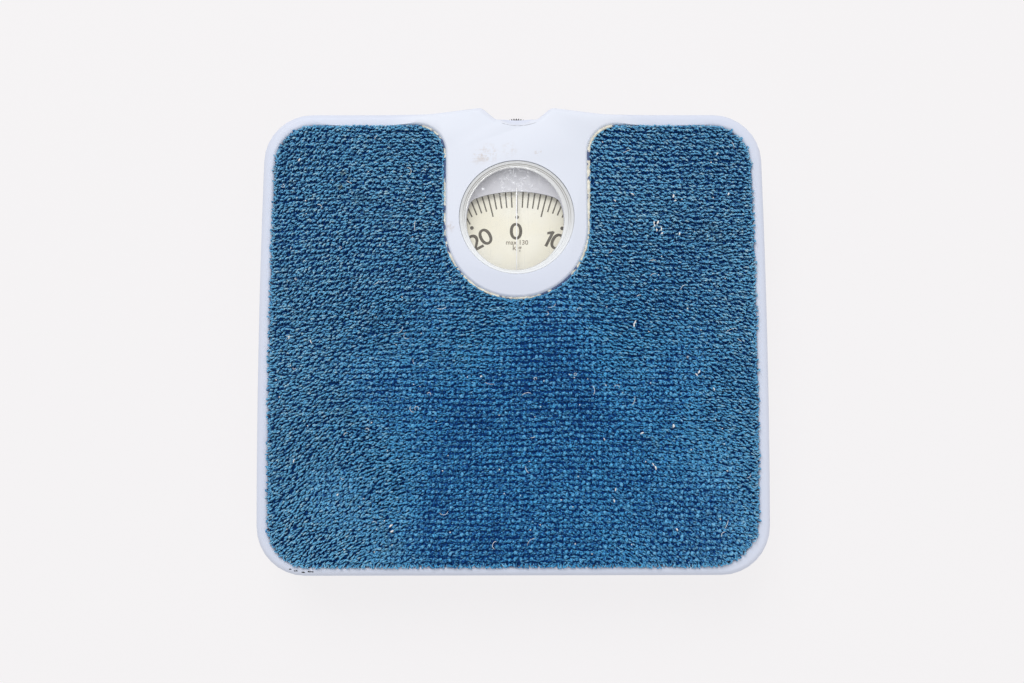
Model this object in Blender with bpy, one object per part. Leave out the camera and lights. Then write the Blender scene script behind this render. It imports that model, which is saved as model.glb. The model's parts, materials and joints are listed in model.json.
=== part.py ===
"""Mechanical bathroom scale: pressed steel cover with a loop-pile mat, dial window,
lever work, bell crank, rack and pinion, and a knurled zero wheel. Metres, +Z up.

The part stands on its four rubber feet with its origin on the floor under the middle
of its box. +Y points to the dial end, +X to the right of the person who reads it.
"""

import math

import bmesh
import bpy
from mathutils import Matrix, Vector

# Driving dimensions of the cover
COVER_WIDTH = 0.280
COVER_DEPTH = 0.2548
RIM_TOP = 0.0500
SKIRT_BOTTOM = 0.0240
SHEET = 0.0011
SKIRT_DRAFT = 0.0006
SIDE_BOW = 0.0023
BOW_TANGENT_SHARE = 0.7
CORNER_RADIUS = 0.0274
RIM_FILLET = 0.0036
HOUSING_RISE = 0.0035
HOUSING_FULL_HALF = 0.0440
HOUSING_END_HALF = 0.0800

# Field that holds the mat
RIM_WIDTH = 0.0074
REAR_RIM_WIDTH = 0.0079
FRONT_RIM_WIDTH = 0.0062
FIELD_DEPTH = 0.0020
FIELD_CORNER = 0.0205
FIELD_EDGE_WIDTH = 0.0020
FIELD_FLARE_SHARE = 1.02
MAT_GAP = 0.0006
MAT_THICKNESS = 0.0052
MAT_EDGE = 0.0012

# Housing of the dial window
AXIS_X = 0.0020
TONGUE_HALF = 0.0395
TONGUE_LENGTH = 0.0965
TONGUE_FLARE = 0.0160
TONGUE_ROUND_SHARE = 0.985
LENS_FROM_REAR = 0.0601
LENS_HOLE_RADIUS = 0.0317

# Rear edge with the two low bulges and the finger notch between them
BULGE_HEIGHT = 0.0038
BULGE_FOOT_HALF = 0.0487
BULGE_PEAK_HALF = 0.0192
NOTCH_HALF = 0.0112
NOTCH_DEPTH = 0.0030
BULGE_FOOT_RADIUS = 0.0600
BULGE_PEAK_RADIUS = 0.0056
NOTCH_RADIUS = 0.0030
SCOOP_RADIUS = 0.0183
SCOOP_BEHIND_NOTCH = 0.0112
SCOOP_ABOVE_RIM = 0.0110
WHEEL_WINDOW_HALF = 0.0146
WHEEL_WINDOW_TOP = 0.0452
WHEEL_WINDOW_REACH = 0.0140

# Clearances and sheet metal
FIT = 0.0003
OVERRUN = 0.0040
PAN_SHEET = 0.0010
PAN_GAP = 0.0019
PAN_WALL_TOP = 0.0260
PAN_FILLET = 0.0040
FOOT_HEIGHT = 0.0030
FOOT_RADIUS = 0.0090
FOOT_STEM_RADIUS = 0.0025
FOOT_HEAD_RADIUS = 0.0038
FOOT_HEAD_HEIGHT = 0.0015
FOOT_FROM_FULCRUM_X = 0.0195
FOOT_FROM_FULCRUM_Y = 0.0074
BEAD_LENGTH = 0.1500
BEAD_WIDTH = 0.0120
BEAD_HEIGHT = 0.0010
BEAD_SPACING = 0.0900
RIVET_SHANK_RADIUS = 0.0014
RIVET_HEAD_RADIUS = 0.0027
RIVET_HEAD_HEIGHT = 0.0009
RIVET_CROWN_SHARE = 0.6
BRACKET_SHEET = 0.0015

# Lever work
FULCRUM_INSET_X = 0.0320
FULCRUM_INSET_Y = 0.0294
LOAD_ARM = 0.0160
KNIFE_Z = 0.0122
KNIFE_HEIGHT = 0.0030
BEARER_KNIFE_Z = 0.0173
BEARER_BOTTOM = 0.0130
POST_WIDTH = 0.0180
POST_TOP = 0.0175
POST_FLANGE = 0.0150
SLOT_WIDTH = 0.0046
LEVER_THICKNESS = 0.0022
LEVER_TOP = 0.0195
LEVER_DEEP_BOTTOM = 0.0100
LEVER_BOTTOM = 0.0122
LEVER_TIP_BOTTOM = 0.0134
LEVER_TIP_TOP = 0.0190
LEVER_OVERHANG = 0.0070
LEVER_TIP_REACH = 0.0035
LEVER_TIP_SPACING = 0.0140
NOTCH_V_HALF = 0.0019
TIE_FROM_SPRING = 0.0320
TIE_BOTTOM = 0.0150
TIE_TOP = 0.0228
TIE_OVERHANG = 0.0040
STIRRUP_THICKNESS = 0.0016
STIRRUP_BAR = 0.0017
STIRRUP_SPACING = 0.0055
STIRRUP_SIDE_GAP = 0.0007
SHORT_TIP_BOTTOM = 0.0120
SHORT_TIP_TOP = 0.0185
SHORT_TIP_REACH = 0.0015

# Main spring, its hanger and the zero wheel
WHEEL_RADIUS = 0.0125
WHEEL_POKE = 0.00115
WHEEL_BOTTOM = 0.0405
WHEEL_TOP = 0.0440
WHEEL_CHAMFER = 0.0004
WHEEL_BORE = 0.0025
WHEEL_HUB_RADIUS = 0.0062
WHEEL_DISH = 0.0010
KNURL_COUNT = 58
KNURL_DEPTH = 0.00045
SPRING_RADIUS = 0.0080
SPRING_WIRE_RADIUS = 0.00125
SPRING_PITCH = 0.00295
SPRING_TURNS = 7
HANGER_BOTTOM = 0.0116
HANGER_THICKNESS = 0.0015
HANGER_HALF = 0.0172
HANGER_DEPTH = 0.0090
PLUG_RADIUS = 0.0064
PLUG_LENGTH = 0.0042
PLUG_DISC_RADIUS = 0.0085
PLUG_DISC_HEIGHT = 0.0010
ADJUSTER_RADIUS = 0.0022
ADJUSTER_PROUD = 0.0008
BRACKET_TOP = 0.0402
BRACKET_HALF = 0.0260
BRACKET_DEPTH = 0.0160
BRACKET_FOOT = 0.0100
BRACKET_BEND = 0.0025
SHELF_REACH = 0.0085
SHELF_INWARD = 0.0090
SHELF_DEPTH = 0.0060
SHELF_WEB = 0.0035

# Bridge, bell crank, rack and pinion
DIAL_FROM_LENS = 0.0519
BRIDGE_BOTTOM = 0.0250
BRIDGE_HALF = 0.0130
BRIDGE_REAR_GAP = 0.0100
BRIDGE_FRONT_REACH = 0.0261
BRIDGE_FOOT = 0.0100
BRIDGE_ARM_DEPTH = 0.0070
CRANK_FROM_SPRING = 0.02125
CRANK_Z = 0.0112
CRANK_SHORT_ARM = 0.008913
CRANK_LONG_ARM = 0.0200
CRANK_SWING_DEG = 45.0
CRANK_X = 0.0072
CRANK_THICKNESS = 0.0015
CRANK_HUB_RADIUS = 0.0030
CRANK_END_RADIUS = 0.0012
CRANK_ARM_HALF = 0.0019
CRANK_PIN_RADIUS = 0.0010
CRANK_PIN_REACH = 0.0034
PIVOT_RADIUS = 0.00125
EAR_GAP = 0.0016
EAR_HALF = 0.0040
EAR_BOTTOM = 0.0080
PIVOT_HEAD_RADIUS = 0.0020
RACK_HEIGHT = 0.0040
RACK_BACK = 0.0036
RACK_FRONT_SPARE = 0.0030
RACK_EYE_HALF = 0.0032
RACK_EYE_TOP = 0.0345
RACK_SLOT_HALF = 0.0015
RACK_SLOT_LOW = 0.0280
RACK_SLOT_HIGH = 0.0329
RACK_EYE_THICKNESS = 0.0016
GEAR_MODULE = 0.0005
PINION_TEETH = 10
TOOTH_THICKNESS_SHARE = 0.40
TOOTH_TIP_SHARE = 0.16
TOOTH_ROOT_SHARE = 0.56
ADDENDUM_SHARE = 0.90
DEDENDUM_SHARE = 1.15
SPINDLE_RADIUS = 0.00125
BUSH_RADIUS = 0.0030
BUSH_FLANGE_RADIUS = 0.0046
BUSH_FLANGE_HEIGHT = 0.0012
BUSH_BOTTOM = 0.0210
SADDLE_TOP = 0.0330
SADDLE_DEPTH = 0.0120
SADDLE_SHEET = 0.0012
SADDLE_FOOT = 0.0045
SADDLE_LEFT = 0.0060
RACK_SPRING_RADIUS = 0.0018
RACK_SPRING_WIRE = 0.0003
RACK_SPRING_PITCH = 0.0021
RACK_SPRING_TURNS = 11
RACK_SPRING_X = 0.0065
RACK_SPRING_Z = 0.0298
RACK_HORN_FROM_SPRING = 0.0580
HORN_THICKNESS = 0.0010
HORN_HALF = 0.0022
SPRING_POST_REACH = 0.0015

# Dial
DIAL_RADIUS = 0.0690
DIAL_BOTTOM = 0.0411
DIAL_THICKNESS = 0.0008
DIAL_HUB_BOTTOM = 0.0336
DIAL_HUB_RADIUS = 0.0046
DIAL_HUB_FLANGE = 0.0090
DIAL_HUB_FLANGE_HEIGHT = 0.0012
DIAL_NOSE_RADIUS = 0.0030
DIAL_NOSE_HEIGHT = 0.0014

# Lens, mask and pointer
LENS_BODY_RADIUS = 0.0314
LENS_FLANGE_RADIUS = 0.0329
LENS_FLANGE_HEIGHT = 0.0012
LENS_DOME_RADIUS = 0.0284
LENS_DOME_PROUD = 0.0004
LENS_CROWN = 0.0017
LENS_DOME_SHARES = (0.0, 0.4, 0.75, 1.0)
LENS_STEP_RADIUS = 0.0302
LENS_STEP_DROP = 0.0004
LENS_WALL = 0.0015
MASK_SHEET = 0.0010
MASK_FLOOR = 0.0443
MASK_WELL_RADIUS = 0.0322
MASK_RIM_RADIUS = 0.0356
MASK_WINDOW_RADIUS = 0.0265
MASK_ARCH_RADIUS = 0.0680
MASK_SHOULDER = 0.0026
POINTER_WIDTH = 0.0005
POINTER_HEIGHT = 0.0004
POINTER_ABOVE_ARCH = 0.0019
POINTER_LENGTH = 0.0478

# Retaining springs between cover and pan
KEEPER_INSET = 0.0220
KEEPER_SPRING_RADIUS = 0.0030
KEEPER_WIRE = 0.0004
KEEPER_PITCH = 0.0025
KEEPER_TURNS = 8
KEEPER_TAB_TOP = 0.0400
KEEPER_TAB_BOTTOM = 0.0095
KEEPER_TAB_HALF = 0.0050
KEEPER_FLANGE = 0.0110
KEEPER_HOLE = 0.0009

# Facets
CORNER_STEPS = 6
LARGE_STEPS = 9
SMALL_STEPS = 3
ROUND_STEPS = 36
SMALL_ROUND_STEPS = 10
RISE_STRIPS = 5
COIL_POINTS = 10
THIN_COIL_POINTS = 8
SHARP_ANGLE_DEG = 32.0

# Places worked out from the driving dimensions
HALF_REACH = (COVER_DEPTH + BULGE_HEIGHT) / 2
FRONT_Y = -HALF_REACH
REAR_Y = FRONT_Y + COVER_DEPTH
MIDDLE_Y = (FRONT_Y + REAR_Y) / 2
PEAK_Y = REAR_Y + BULGE_HEIGHT
NOTCH_Y = REAR_Y - NOTCH_DEPTH
CORNER_X = COVER_WIDTH / 2 - SIDE_BOW * (1 - BOW_TANGENT_SHARE / 2)
HOUSING_TOP = RIM_TOP + HOUSING_RISE
FIELD_Z = RIM_TOP - FIELD_DEPTH
FIELD_REAR_Y = REAR_Y - REAR_RIM_WIDTH
FIELD_FRONT_Y = FRONT_Y + FRONT_RIM_WIDTH
TONGUE_END_Y = FIELD_REAR_Y - TONGUE_LENGTH
LENS_Y = REAR_Y - LENS_FROM_REAR
DIAL_Y = LENS_Y - DIAL_FROM_LENS
SPRING_Y = NOTCH_Y + WHEEL_POKE - WHEEL_RADIUS
FULCRUM_HALF_X = COVER_WIDTH / 2 - FULCRUM_INSET_X
FULCRUM_HALF_Y = COVER_DEPTH / 2 - FULCRUM_INSET_Y
KEEPER_X = COVER_WIDTH / 2 - KEEPER_INSET
FRONT_FULCRUM_Y = MIDDLE_Y - FULCRUM_HALF_Y
REAR_FULCRUM_Y = MIDDLE_Y + FULCRUM_HALF_Y
PAN_BOTTOM = FOOT_HEIGHT
PAN_TOP = PAN_BOTTOM + PAN_SHEET
FLANGE_BOTTOM = PAN_TOP + FIT
FLANGE_TOP = FLANGE_BOTTOM + BRACKET_SHEET
COVER_UNDER = FIELD_Z - SHEET
HOUSING_UNDER = HOUSING_TOP - SHEET
BRIDGE_TOP = BRIDGE_BOTTOM + BRACKET_SHEET
BRIDGE_REAR_Y = SPRING_Y - BRIDGE_REAR_GAP
BRIDGE_FRONT_Y = DIAL_Y - BRIDGE_FRONT_REACH
RACK_BOTTOM = BRIDGE_TOP + FIT
RACK_TOP = RACK_BOTTOM + RACK_HEIGHT
PITCH_RADIUS = GEAR_MODULE * PINION_TEETH / 2
TOOTH_PITCH = math.pi * GEAR_MODULE
RACK_TRAVEL = 2 * math.pi * PITCH_RADIUS
CRANK_Y = SPRING_Y - CRANK_FROM_SPRING
RACK_EYE_Y = CRANK_Y - RACK_TRAVEL / 2
HANGER_TOP = HANGER_BOTTOM + HANGER_THICKNESS
SPRING_LOW = HANGER_TOP + FIT + SPRING_WIRE_RADIUS
SPRING_HIGH = SPRING_LOW + SPRING_PITCH * SPRING_TURNS
PLUG_DISC_BOTTOM = SPRING_HIGH + SPRING_WIRE_RADIUS + FIT
BRACKET_UNDER = BRACKET_TOP - BRACKET_SHEET


# Finishes
def finish_material(name, colour, roughness, metallic=0.0):
    """One Principled finish for one piece."""
    material = bpy.data.materials.new(name)
    material.use_nodes = True
    shader = material.node_tree.nodes["Principled BSDF"]
    shader.inputs["Base Color"].default_value = (*colour, 1.0)
    shader.inputs["Roughness"].default_value = roughness
    shader.inputs["Metallic"].default_value = metallic
    material.diffuse_color = (*colour, 1.0)
    return material


ENAMEL = ((0.79, 0.81, 0.90), 0.32, 0.0)
PILE = ((0.03, 0.11, 0.24), 0.95, 0.0)
ZINC = ((0.55, 0.55, 0.54), 0.38, 1.0)
SPRING_STEEL = ((0.35, 0.34, 0.33), 0.30, 1.0)
BRASS = ((0.72, 0.52, 0.22), 0.30, 1.0)
RUBBER = ((0.03, 0.03, 0.03), 0.85, 0.0)
CLEAR = ((0.88, 0.90, 0.90), 0.08, 0.0)
MASK_GREY = ((0.52, 0.53, 0.56), 0.55, 0.0)
CARD_CREAM = ((0.80, 0.78, 0.66), 0.60, 0.0)
BLACK_PLASTIC = ((0.02, 0.02, 0.02), 0.45, 0.0)
WHITE_LINE = ((0.85, 0.86, 0.88), 0.50, 0.0)


# Mesh helpers
def make_object(name, bm, finish, origin=(0.0, 0.0, 0.0)):
    """Closes a bmesh into a named object whose origin lies on its own axis."""
    bmesh.ops.recalc_face_normals(bm, faces=bm.faces)
    place = Vector(origin)
    bmesh.ops.translate(bm, verts=bm.verts, vec=-place)
    mesh = bpy.data.meshes.new(name)
    bm.to_mesh(mesh)
    bm.free()
    mesh.shade_smooth()
    mesh.set_sharp_from_angle(angle=math.radians(SHARP_ANGLE_DEG))
    obj = bpy.data.objects.new(name, mesh)
    obj.location = place
    obj.data.materials.append(finish_material(name, *finish))
    bpy.context.collection.objects.link(obj)
    return obj


def loft(levels):
    """Solid through closed loops of as many points each, from the first to the last."""
    bm = bmesh.new()
    cap = bm.faces.new([bm.verts.new(point) for point in levels[0]])
    for level in levels[1:]:
        side = bmesh.ops.extrude_discrete_faces(bm, faces=[cap])
        cap = side["faces"][0]
        for vert, point in zip(cap.verts, level):
            vert.co = point
    open_edges = [edge for edge in bm.edges if edge.is_boundary]
    bmesh.ops.holes_fill(bm, edges=open_edges)
    bmesh.ops.recalc_face_normals(bm, faces=bm.faces)
    return bm


def level_at(outline, height):
    """A flat outline as a loop at one height."""
    return [Vector((x, y, height)) for x, y in outline]


def prism(outline, low, high, axis="Z"):
    """Extrudes an outline along an axis. YZ outlines run along X, XZ outlines along Y."""
    bm = bmesh.new()
    place = {
        "Z": lambda u, v, w: (u, v, w),
        "X": lambda u, v, w: (w, u, v),
        "Y": lambda u, v, w: (u, w, v),
    }[axis]
    cap = bm.faces.new([bm.verts.new(place(u, v, low)) for u, v in outline])
    result = bmesh.ops.extrude_face_region(bm, geom=[cap])
    moved = [item for item in result["geom"] if isinstance(item, bmesh.types.BMVert)]
    bmesh.ops.translate(bm, verts=moved, vec=Vector(place(0, 0, high - low)))
    bmesh.ops.recalc_face_normals(bm, faces=bm.faces)
    return bm


def box(low, high):
    """Box between two corners."""
    outline = [(low[0], low[1]), (high[0], low[1]), (high[0], high[1]), (low[0], high[1])]
    return prism(outline, low[2], high[2])


def turned(profile, steps=ROUND_STEPS, centre=(0.0, 0.0)):
    """Solid of revolution about a vertical axis from (radius, height) points."""
    bm = bmesh.new()
    verts = [bm.verts.new((radius, 0.0, height)) for radius, height in profile]
    edges = [bm.edges.new(pair) for pair in zip(verts, verts[1:] + verts[:1])]
    bmesh.ops.spin(
        bm, geom=verts + edges, cent=(0, 0, 0), axis=(0, 0, 1), angle=math.tau,
        steps=steps, use_merge=True,
    )
    bmesh.ops.remove_doubles(bm, verts=bm.verts, dist=FIT / 100)
    axis_edges = [edge for edge in bm.edges if not edge.link_faces]
    bmesh.ops.delete(bm, geom=axis_edges, context="EDGES")
    bmesh.ops.recalc_face_normals(bm, faces=bm.faces)
    bmesh.ops.translate(bm, verts=bm.verts, vec=(centre[0], centre[1], 0.0))
    return bm


def rod(start, end, radius, steps=SMALL_ROUND_STEPS):
    """Round rod between two points."""
    start = Vector(start)
    along = Vector(end) - start
    bm = bmesh.new()
    bmesh.ops.create_cone(
        bm, cap_ends=True, segments=steps, radius1=radius, radius2=radius, depth=along.length
    )
    turn = along.to_track_quat("Z", "Y").to_matrix().to_4x4()
    place = Matrix.Translation(start + along / 2) @ turn
    bmesh.ops.transform(bm, matrix=place, verts=bm.verts)
    return bm


def combine(operation, first, *others):
    """Boolean of bmeshes, with the exact solver. The inputs are used up."""
    result = first
    for other in others:
        result = combine_pair(operation, result, other)
    return result


def combine_pair(operation, first, second):
    """Boolean of two bmeshes through one modifier that is applied."""
    objects = []
    for label, bm in (("body", first), ("tool", second)):
        mesh = bpy.data.meshes.new(label)
        bm.to_mesh(mesh)
        bm.free()
        objects.append(bpy.data.objects.new(label, mesh))
        bpy.context.collection.objects.link(objects[-1])
    modifier = objects[0].modifiers.new("combine", "BOOLEAN")
    modifier.operation = operation
    modifier.solver = "EXACT"
    modifier.object = objects[1]
    bpy.context.view_layer.update()
    evaluated = objects[0].evaluated_get(bpy.context.evaluated_depsgraph_get())
    bm = bmesh.new()
    bm.from_mesh(evaluated.to_mesh())
    evaluated.to_mesh_clear()
    for obj in objects:
        mesh = obj.data
        bpy.data.objects.remove(obj, do_unlink=True)
        bpy.data.meshes.remove(mesh)
    bmesh.ops.remove_doubles(bm, verts=bm.verts, dist=FIT / 100)
    return bm


def cut(body, *tools):
    """Takes tools away from a body."""
    return combine("DIFFERENCE", body, *tools)


def join(body, *parts):
    """Fuses parts into a body."""
    return combine("UNION", body, *parts)


def group(bms):
    """Separate solids kept in one bmesh."""
    result = bmesh.new()
    for bm in bms:
        mesh = bpy.data.meshes.new("member")
        bm.to_mesh(mesh)
        bm.free()
        result.from_mesh(mesh)
        bpy.data.meshes.remove(mesh)
    return result


def coil_object(name, points, wire_radius, finish):
    """One unbroken tube along a coil's points, with filled ends."""
    curve = bpy.data.curves.new(name, "CURVE")
    curve.dimensions = "3D"
    curve.bevel_depth = wire_radius
    curve.bevel_resolution = 1
    curve.use_fill_caps = True
    spline = curve.splines.new("POLY")
    spline.points.add(len(points) - 1)
    for point, place in zip(spline.points, points):
        point.co = (*place, 1.0)
    obj = bpy.data.objects.new(name, curve)
    obj.data.materials.append(finish_material(name, *finish))
    bpy.context.collection.objects.link(obj)
    return obj


def least_gap(points, wire_radius, skip):
    """Smallest distance between tube walls that are more than a few points apart."""
    nearest = min(
        (Vector(first) - Vector(second)).length
        for index, first in enumerate(points)
        for second in points[index + skip:]
    )
    return nearest - 2 * wire_radius


# Outlines
def rounded_outline(corners, inset=0.0):
    """Outline with rounded corners, listed anticlockwise, moved inwards by an inset.

    A corner is (x, y, radius, steps). Arcs keep their centres, so every inset has as
    many points as the first.
    """
    outline = []
    count = len(corners)
    for index, (x, y, radius, steps) in enumerate(corners):
        here = Vector((x, y))
        before = (here - Vector(corners[index - 1][:2])).normalized()
        after = (Vector(corners[(index + 1) % count][:2]) - here).normalized()
        turn = math.atan2(before.x * after.y - before.y * after.x, before.dot(after))
        side = 1 if turn > 0 else -1
        normal = Vector((-before.y, before.x)) * side
        tangent = radius * math.tan(abs(turn) / 2)
        centre = here - before * tangent + normal * radius
        arc_radius = radius - side * inset
        for step in range(steps + 1):
            angle = turn * step / steps
            arm = Matrix.Rotation(angle, 2) @ (-normal)
            point = centre + arm * arc_radius
            outline.append((point.x, point.y))
    return outline


def cover_corners():
    """Corners of the cover's plan, with bowed sides, two bulges and the finger notch."""
    bow_x = CORNER_X + SIDE_BOW
    bow_turn = math.atan2(SIDE_BOW, COVER_DEPTH / 2)
    bow_radius = BOW_TANGENT_SHARE * COVER_DEPTH / 2 / math.tan(bow_turn)
    return [
        (-CORNER_X, FRONT_Y, CORNER_RADIUS, CORNER_STEPS),
        (CORNER_X, FRONT_Y, CORNER_RADIUS, CORNER_STEPS),
        (bow_x, MIDDLE_Y, bow_radius, SMALL_STEPS + 1),
        (CORNER_X, REAR_Y, CORNER_RADIUS, CORNER_STEPS),
        (AXIS_X + BULGE_FOOT_HALF, REAR_Y, BULGE_FOOT_RADIUS, SMALL_STEPS),
        (AXIS_X + BULGE_PEAK_HALF, PEAK_Y, BULGE_PEAK_RADIUS, SMALL_STEPS),
        (AXIS_X + NOTCH_HALF, NOTCH_Y, NOTCH_RADIUS, SMALL_STEPS),
        (AXIS_X - NOTCH_HALF, NOTCH_Y, NOTCH_RADIUS, SMALL_STEPS),
        (AXIS_X - BULGE_PEAK_HALF, PEAK_Y, BULGE_PEAK_RADIUS, SMALL_STEPS),
        (AXIS_X - BULGE_FOOT_HALF, REAR_Y, BULGE_FOOT_RADIUS, SMALL_STEPS),
        (-CORNER_X, REAR_Y, CORNER_RADIUS, CORNER_STEPS),
        (-bow_x, MIDDLE_Y, bow_radius, SMALL_STEPS + 1),
    ]


def field_corners():
    """Corners of the recessed field, which runs round the tongue of the housing."""
    side_x = CORNER_X - RIM_WIDTH
    bow_x = side_x + SIDE_BOW
    depth = FIELD_REAR_Y - FIELD_FRONT_Y
    bow_turn = math.atan2(SIDE_BOW, depth / 2)
    bow_radius = BOW_TANGENT_SHARE * depth / 2 / math.tan(bow_turn)
    middle = (FIELD_REAR_Y + FIELD_FRONT_Y) / 2
    right = AXIS_X + TONGUE_HALF
    left = AXIS_X - TONGUE_HALF
    return [
        (-side_x, FIELD_FRONT_Y, FIELD_CORNER, CORNER_STEPS),
        (side_x, FIELD_FRONT_Y, FIELD_CORNER, CORNER_STEPS),
        (bow_x, middle, bow_radius, SMALL_STEPS + 1),
        (side_x, FIELD_REAR_Y, FIELD_CORNER, CORNER_STEPS),
        (right, FIELD_REAR_Y, TONGUE_FLARE, CORNER_STEPS),
        (right, TONGUE_END_Y, TONGUE_HALF * TONGUE_ROUND_SHARE, LARGE_STEPS),
        (left, TONGUE_END_Y, TONGUE_HALF * TONGUE_ROUND_SHARE, LARGE_STEPS),
        (left, FIELD_REAR_Y, TONGUE_FLARE, CORNER_STEPS),
        (-side_x, FIELD_REAR_Y, FIELD_CORNER, CORNER_STEPS),
        (-bow_x, middle, bow_radius, SMALL_STEPS + 1),
    ]


def pan_corners():
    """Corners of the base pan's plan, which stands inside the skirt."""
    bow_x = CORNER_X + SIDE_BOW
    bow_turn = math.atan2(SIDE_BOW, COVER_DEPTH / 2)
    bow_radius = BOW_TANGENT_SHARE * COVER_DEPTH / 2 / math.tan(bow_turn)
    return [
        (-CORNER_X, FRONT_Y, CORNER_RADIUS, CORNER_STEPS),
        (CORNER_X, FRONT_Y, CORNER_RADIUS, CORNER_STEPS),
        (bow_x, MIDDLE_Y, bow_radius, SMALL_STEPS + 1),
        (CORNER_X, REAR_Y, CORNER_RADIUS, CORNER_STEPS),
        (-CORNER_X, REAR_Y, CORNER_RADIUS, CORNER_STEPS),
        (-bow_x, MIDDLE_Y, bow_radius, SMALL_STEPS + 1),
    ]


def rise_at(x, y):
    """Share of the housing's full rise above the plain rim at a place in the plan."""
    aside = abs(x - AXIS_X)
    across = (HOUSING_END_HALF - aside) / (HOUSING_END_HALF - HOUSING_FULL_HALF)
    across = min(max(across, 0.0), 1.0)
    along = (y - TONGUE_END_Y + TONGUE_HALF / 2) / (TONGUE_HALF / 2 - FIELD_EDGE_WIDTH)
    along = min(max(along, 0.0), 1.0)
    return (0.5 - 0.5 * math.cos(math.pi * across)) * along


def lift_housing(bm, low, high):
    """Raises the housing: nothing below the low height, the full rise from the high one."""
    for vert in bm.verts:
        share = min(max((vert.co.z - low) / (high - low), 0.0), 1.0)
        vert.co.z += HOUSING_RISE * share * rise_at(vert.co.x, vert.co.y)


def slice_for_rise(bm):
    """Cuts the faces into strips where the housing's height changes."""
    places = []
    for strip in range(RISE_STRIPS + 1):
        share = strip / RISE_STRIPS
        reach = HOUSING_FULL_HALF + (HOUSING_END_HALF - HOUSING_FULL_HALF) * share
        places.append(((AXIS_X + reach, 0.0, 0.0), (1, 0, 0)))
        places.append(((AXIS_X - reach, 0.0, 0.0), (1, 0, 0)))
    places.append(((0.0, TONGUE_END_Y - TONGUE_HALF / 2, 0.0), (0, 1, 0)))
    places.append(((0.0, TONGUE_END_Y - FIELD_EDGE_WIDTH, 0.0), (0, 1, 0)))
    for place, normal in places:
        whole = list(bm.verts) + list(bm.edges) + list(bm.faces)
        bmesh.ops.bisect_plane(
            bm, geom=whole, dist=FIT / 1000, plane_co=place, plane_no=normal
        )


# Cover and what it carries
def cover_body(inset):
    """Lofted body of the cover with its risen housing, moved inwards by an inset."""
    corners = cover_corners()
    fillet = RIM_FILLET - inset
    top = RIM_TOP - inset
    bottom = SKIRT_BOTTOM - (OVERRUN if inset else 0.0)
    levels = [
        level_at(rounded_outline(corners, inset), bottom),
        level_at(rounded_outline(corners, inset + SKIRT_DRAFT), top - fillet),
    ]
    for step in range(1, SMALL_STEPS + 1):
        angle = math.pi / 2 * step / SMALL_STEPS
        inwards = inset + SKIRT_DRAFT + fillet * (1 - math.cos(angle))
        height = top - fillet + fillet * math.sin(angle)
        levels.append(level_at(rounded_outline(corners, inwards), height))
    body = loft(levels)
    slice_for_rise(body)
    lift_housing(body, top - fillet, top)
    return body


def field_tool(outset):
    """What is pressed down for the mat's field, grown by an outset for the inner side."""
    corners = field_corners()
    floor = FIELD_Z - outset
    top = RIM_TOP - outset
    edge = FIELD_EDGE_WIDTH - outset
    start = floor + FIELD_DEPTH / 4
    levels = [
        level_at(rounded_outline(corners, -outset), floor),
        level_at(rounded_outline(corners, -outset), start),
    ]
    for step in range(1, SMALL_STEPS + 1):
        angle = math.pi / 2 * step / SMALL_STEPS
        outwards = outset + edge * (1 - math.cos(angle))
        height = start + (top - start) * math.sin(angle)
        levels.append(level_at(rounded_outline(corners, -outwards), height))
    outwards = outset + edge * FIELD_FLARE_SHARE
    levels[-1] = level_at(rounded_outline(corners, -outwards), top + FIT / 10)
    levels.append(level_at(rounded_outline(corners, -outwards), top + OVERRUN + FIT))
    tool = loft(levels)
    lift_housing(tool, floor, top)
    for vert in tool.verts:
        if vert.co.z >= top + OVERRUN:
            vert.co.z = HOUSING_TOP + OVERRUN
    return tool


def scoop_tool(grow):
    """Ball that scoops the finger recess out of the housing's rear edge."""
    bm = bmesh.new()
    bmesh.ops.create_uvsphere(
        bm, u_segments=ROUND_STEPS, v_segments=ROUND_STEPS // 2, radius=SCOOP_RADIUS + grow
    )
    place = (AXIS_X, NOTCH_Y + SCOOP_BEHIND_NOTCH, RIM_TOP + SCOOP_ABOVE_RIM)
    bmesh.ops.translate(bm, verts=bm.verts, vec=place)
    return bm


def lens_hole_tool():
    """Round hole of the dial window."""
    low = COVER_UNDER - OVERRUN
    high = HOUSING_TOP + OVERRUN
    profile = [(0.0, low), (LENS_HOLE_RADIUS, low), (LENS_HOLE_RADIUS, high), (0.0, high)]
    return turned(profile, centre=(AXIS_X, LENS_Y))


def wheel_window_tool():
    """Cut-out under the finger recess, through which the zero wheel looks out."""
    low = (AXIS_X - WHEEL_WINDOW_HALF, PEAK_Y - WHEEL_WINDOW_REACH, SKIRT_BOTTOM - 2 * OVERRUN)
    high = (AXIS_X + WHEEL_WINDOW_HALF, PEAK_Y + OVERRUN, WHEEL_WINDOW_TOP)
    return box(low, high)


def top_cover():
    """Pressed cover: an outer form less the inner form one sheet further in."""
    outer = cut(cover_body(0.0), field_tool(0.0), scoop_tool(0.0))
    inner = cut(cover_body(SHEET), field_tool(SHEET), scoop_tool(SHEET))
    shell = cut(outer, inner, lens_hole_tool(), wheel_window_tool())
    return make_object("top_cover", shell, ENAMEL)


def mat():
    """Loop-pile mat as a plain soft solid with a rounded upper edge."""
    corners = field_corners()
    low = FIELD_Z + FIT
    high = FIELD_Z + MAT_THICKNESS
    levels = [
        level_at(rounded_outline(corners, MAT_GAP + FIT), low),
        level_at(rounded_outline(corners, MAT_GAP), low + MAT_EDGE),
    ]
    for step in range(SMALL_STEPS + 1):
        angle = math.pi / 2 * step / SMALL_STEPS
        inwards = MAT_GAP + MAT_EDGE * (1 - math.cos(angle))
        height = high - MAT_EDGE + MAT_EDGE * math.sin(angle)
        levels.append(level_at(rounded_outline(corners, inwards), height))
    return make_object("mat", loft(levels), PILE)


def lens_crown(radius):
    """Height of the lens dome above its edge at a radius."""
    return LENS_CROWN * (1 - (radius / LENS_DOME_RADIUS) ** 2)


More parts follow.
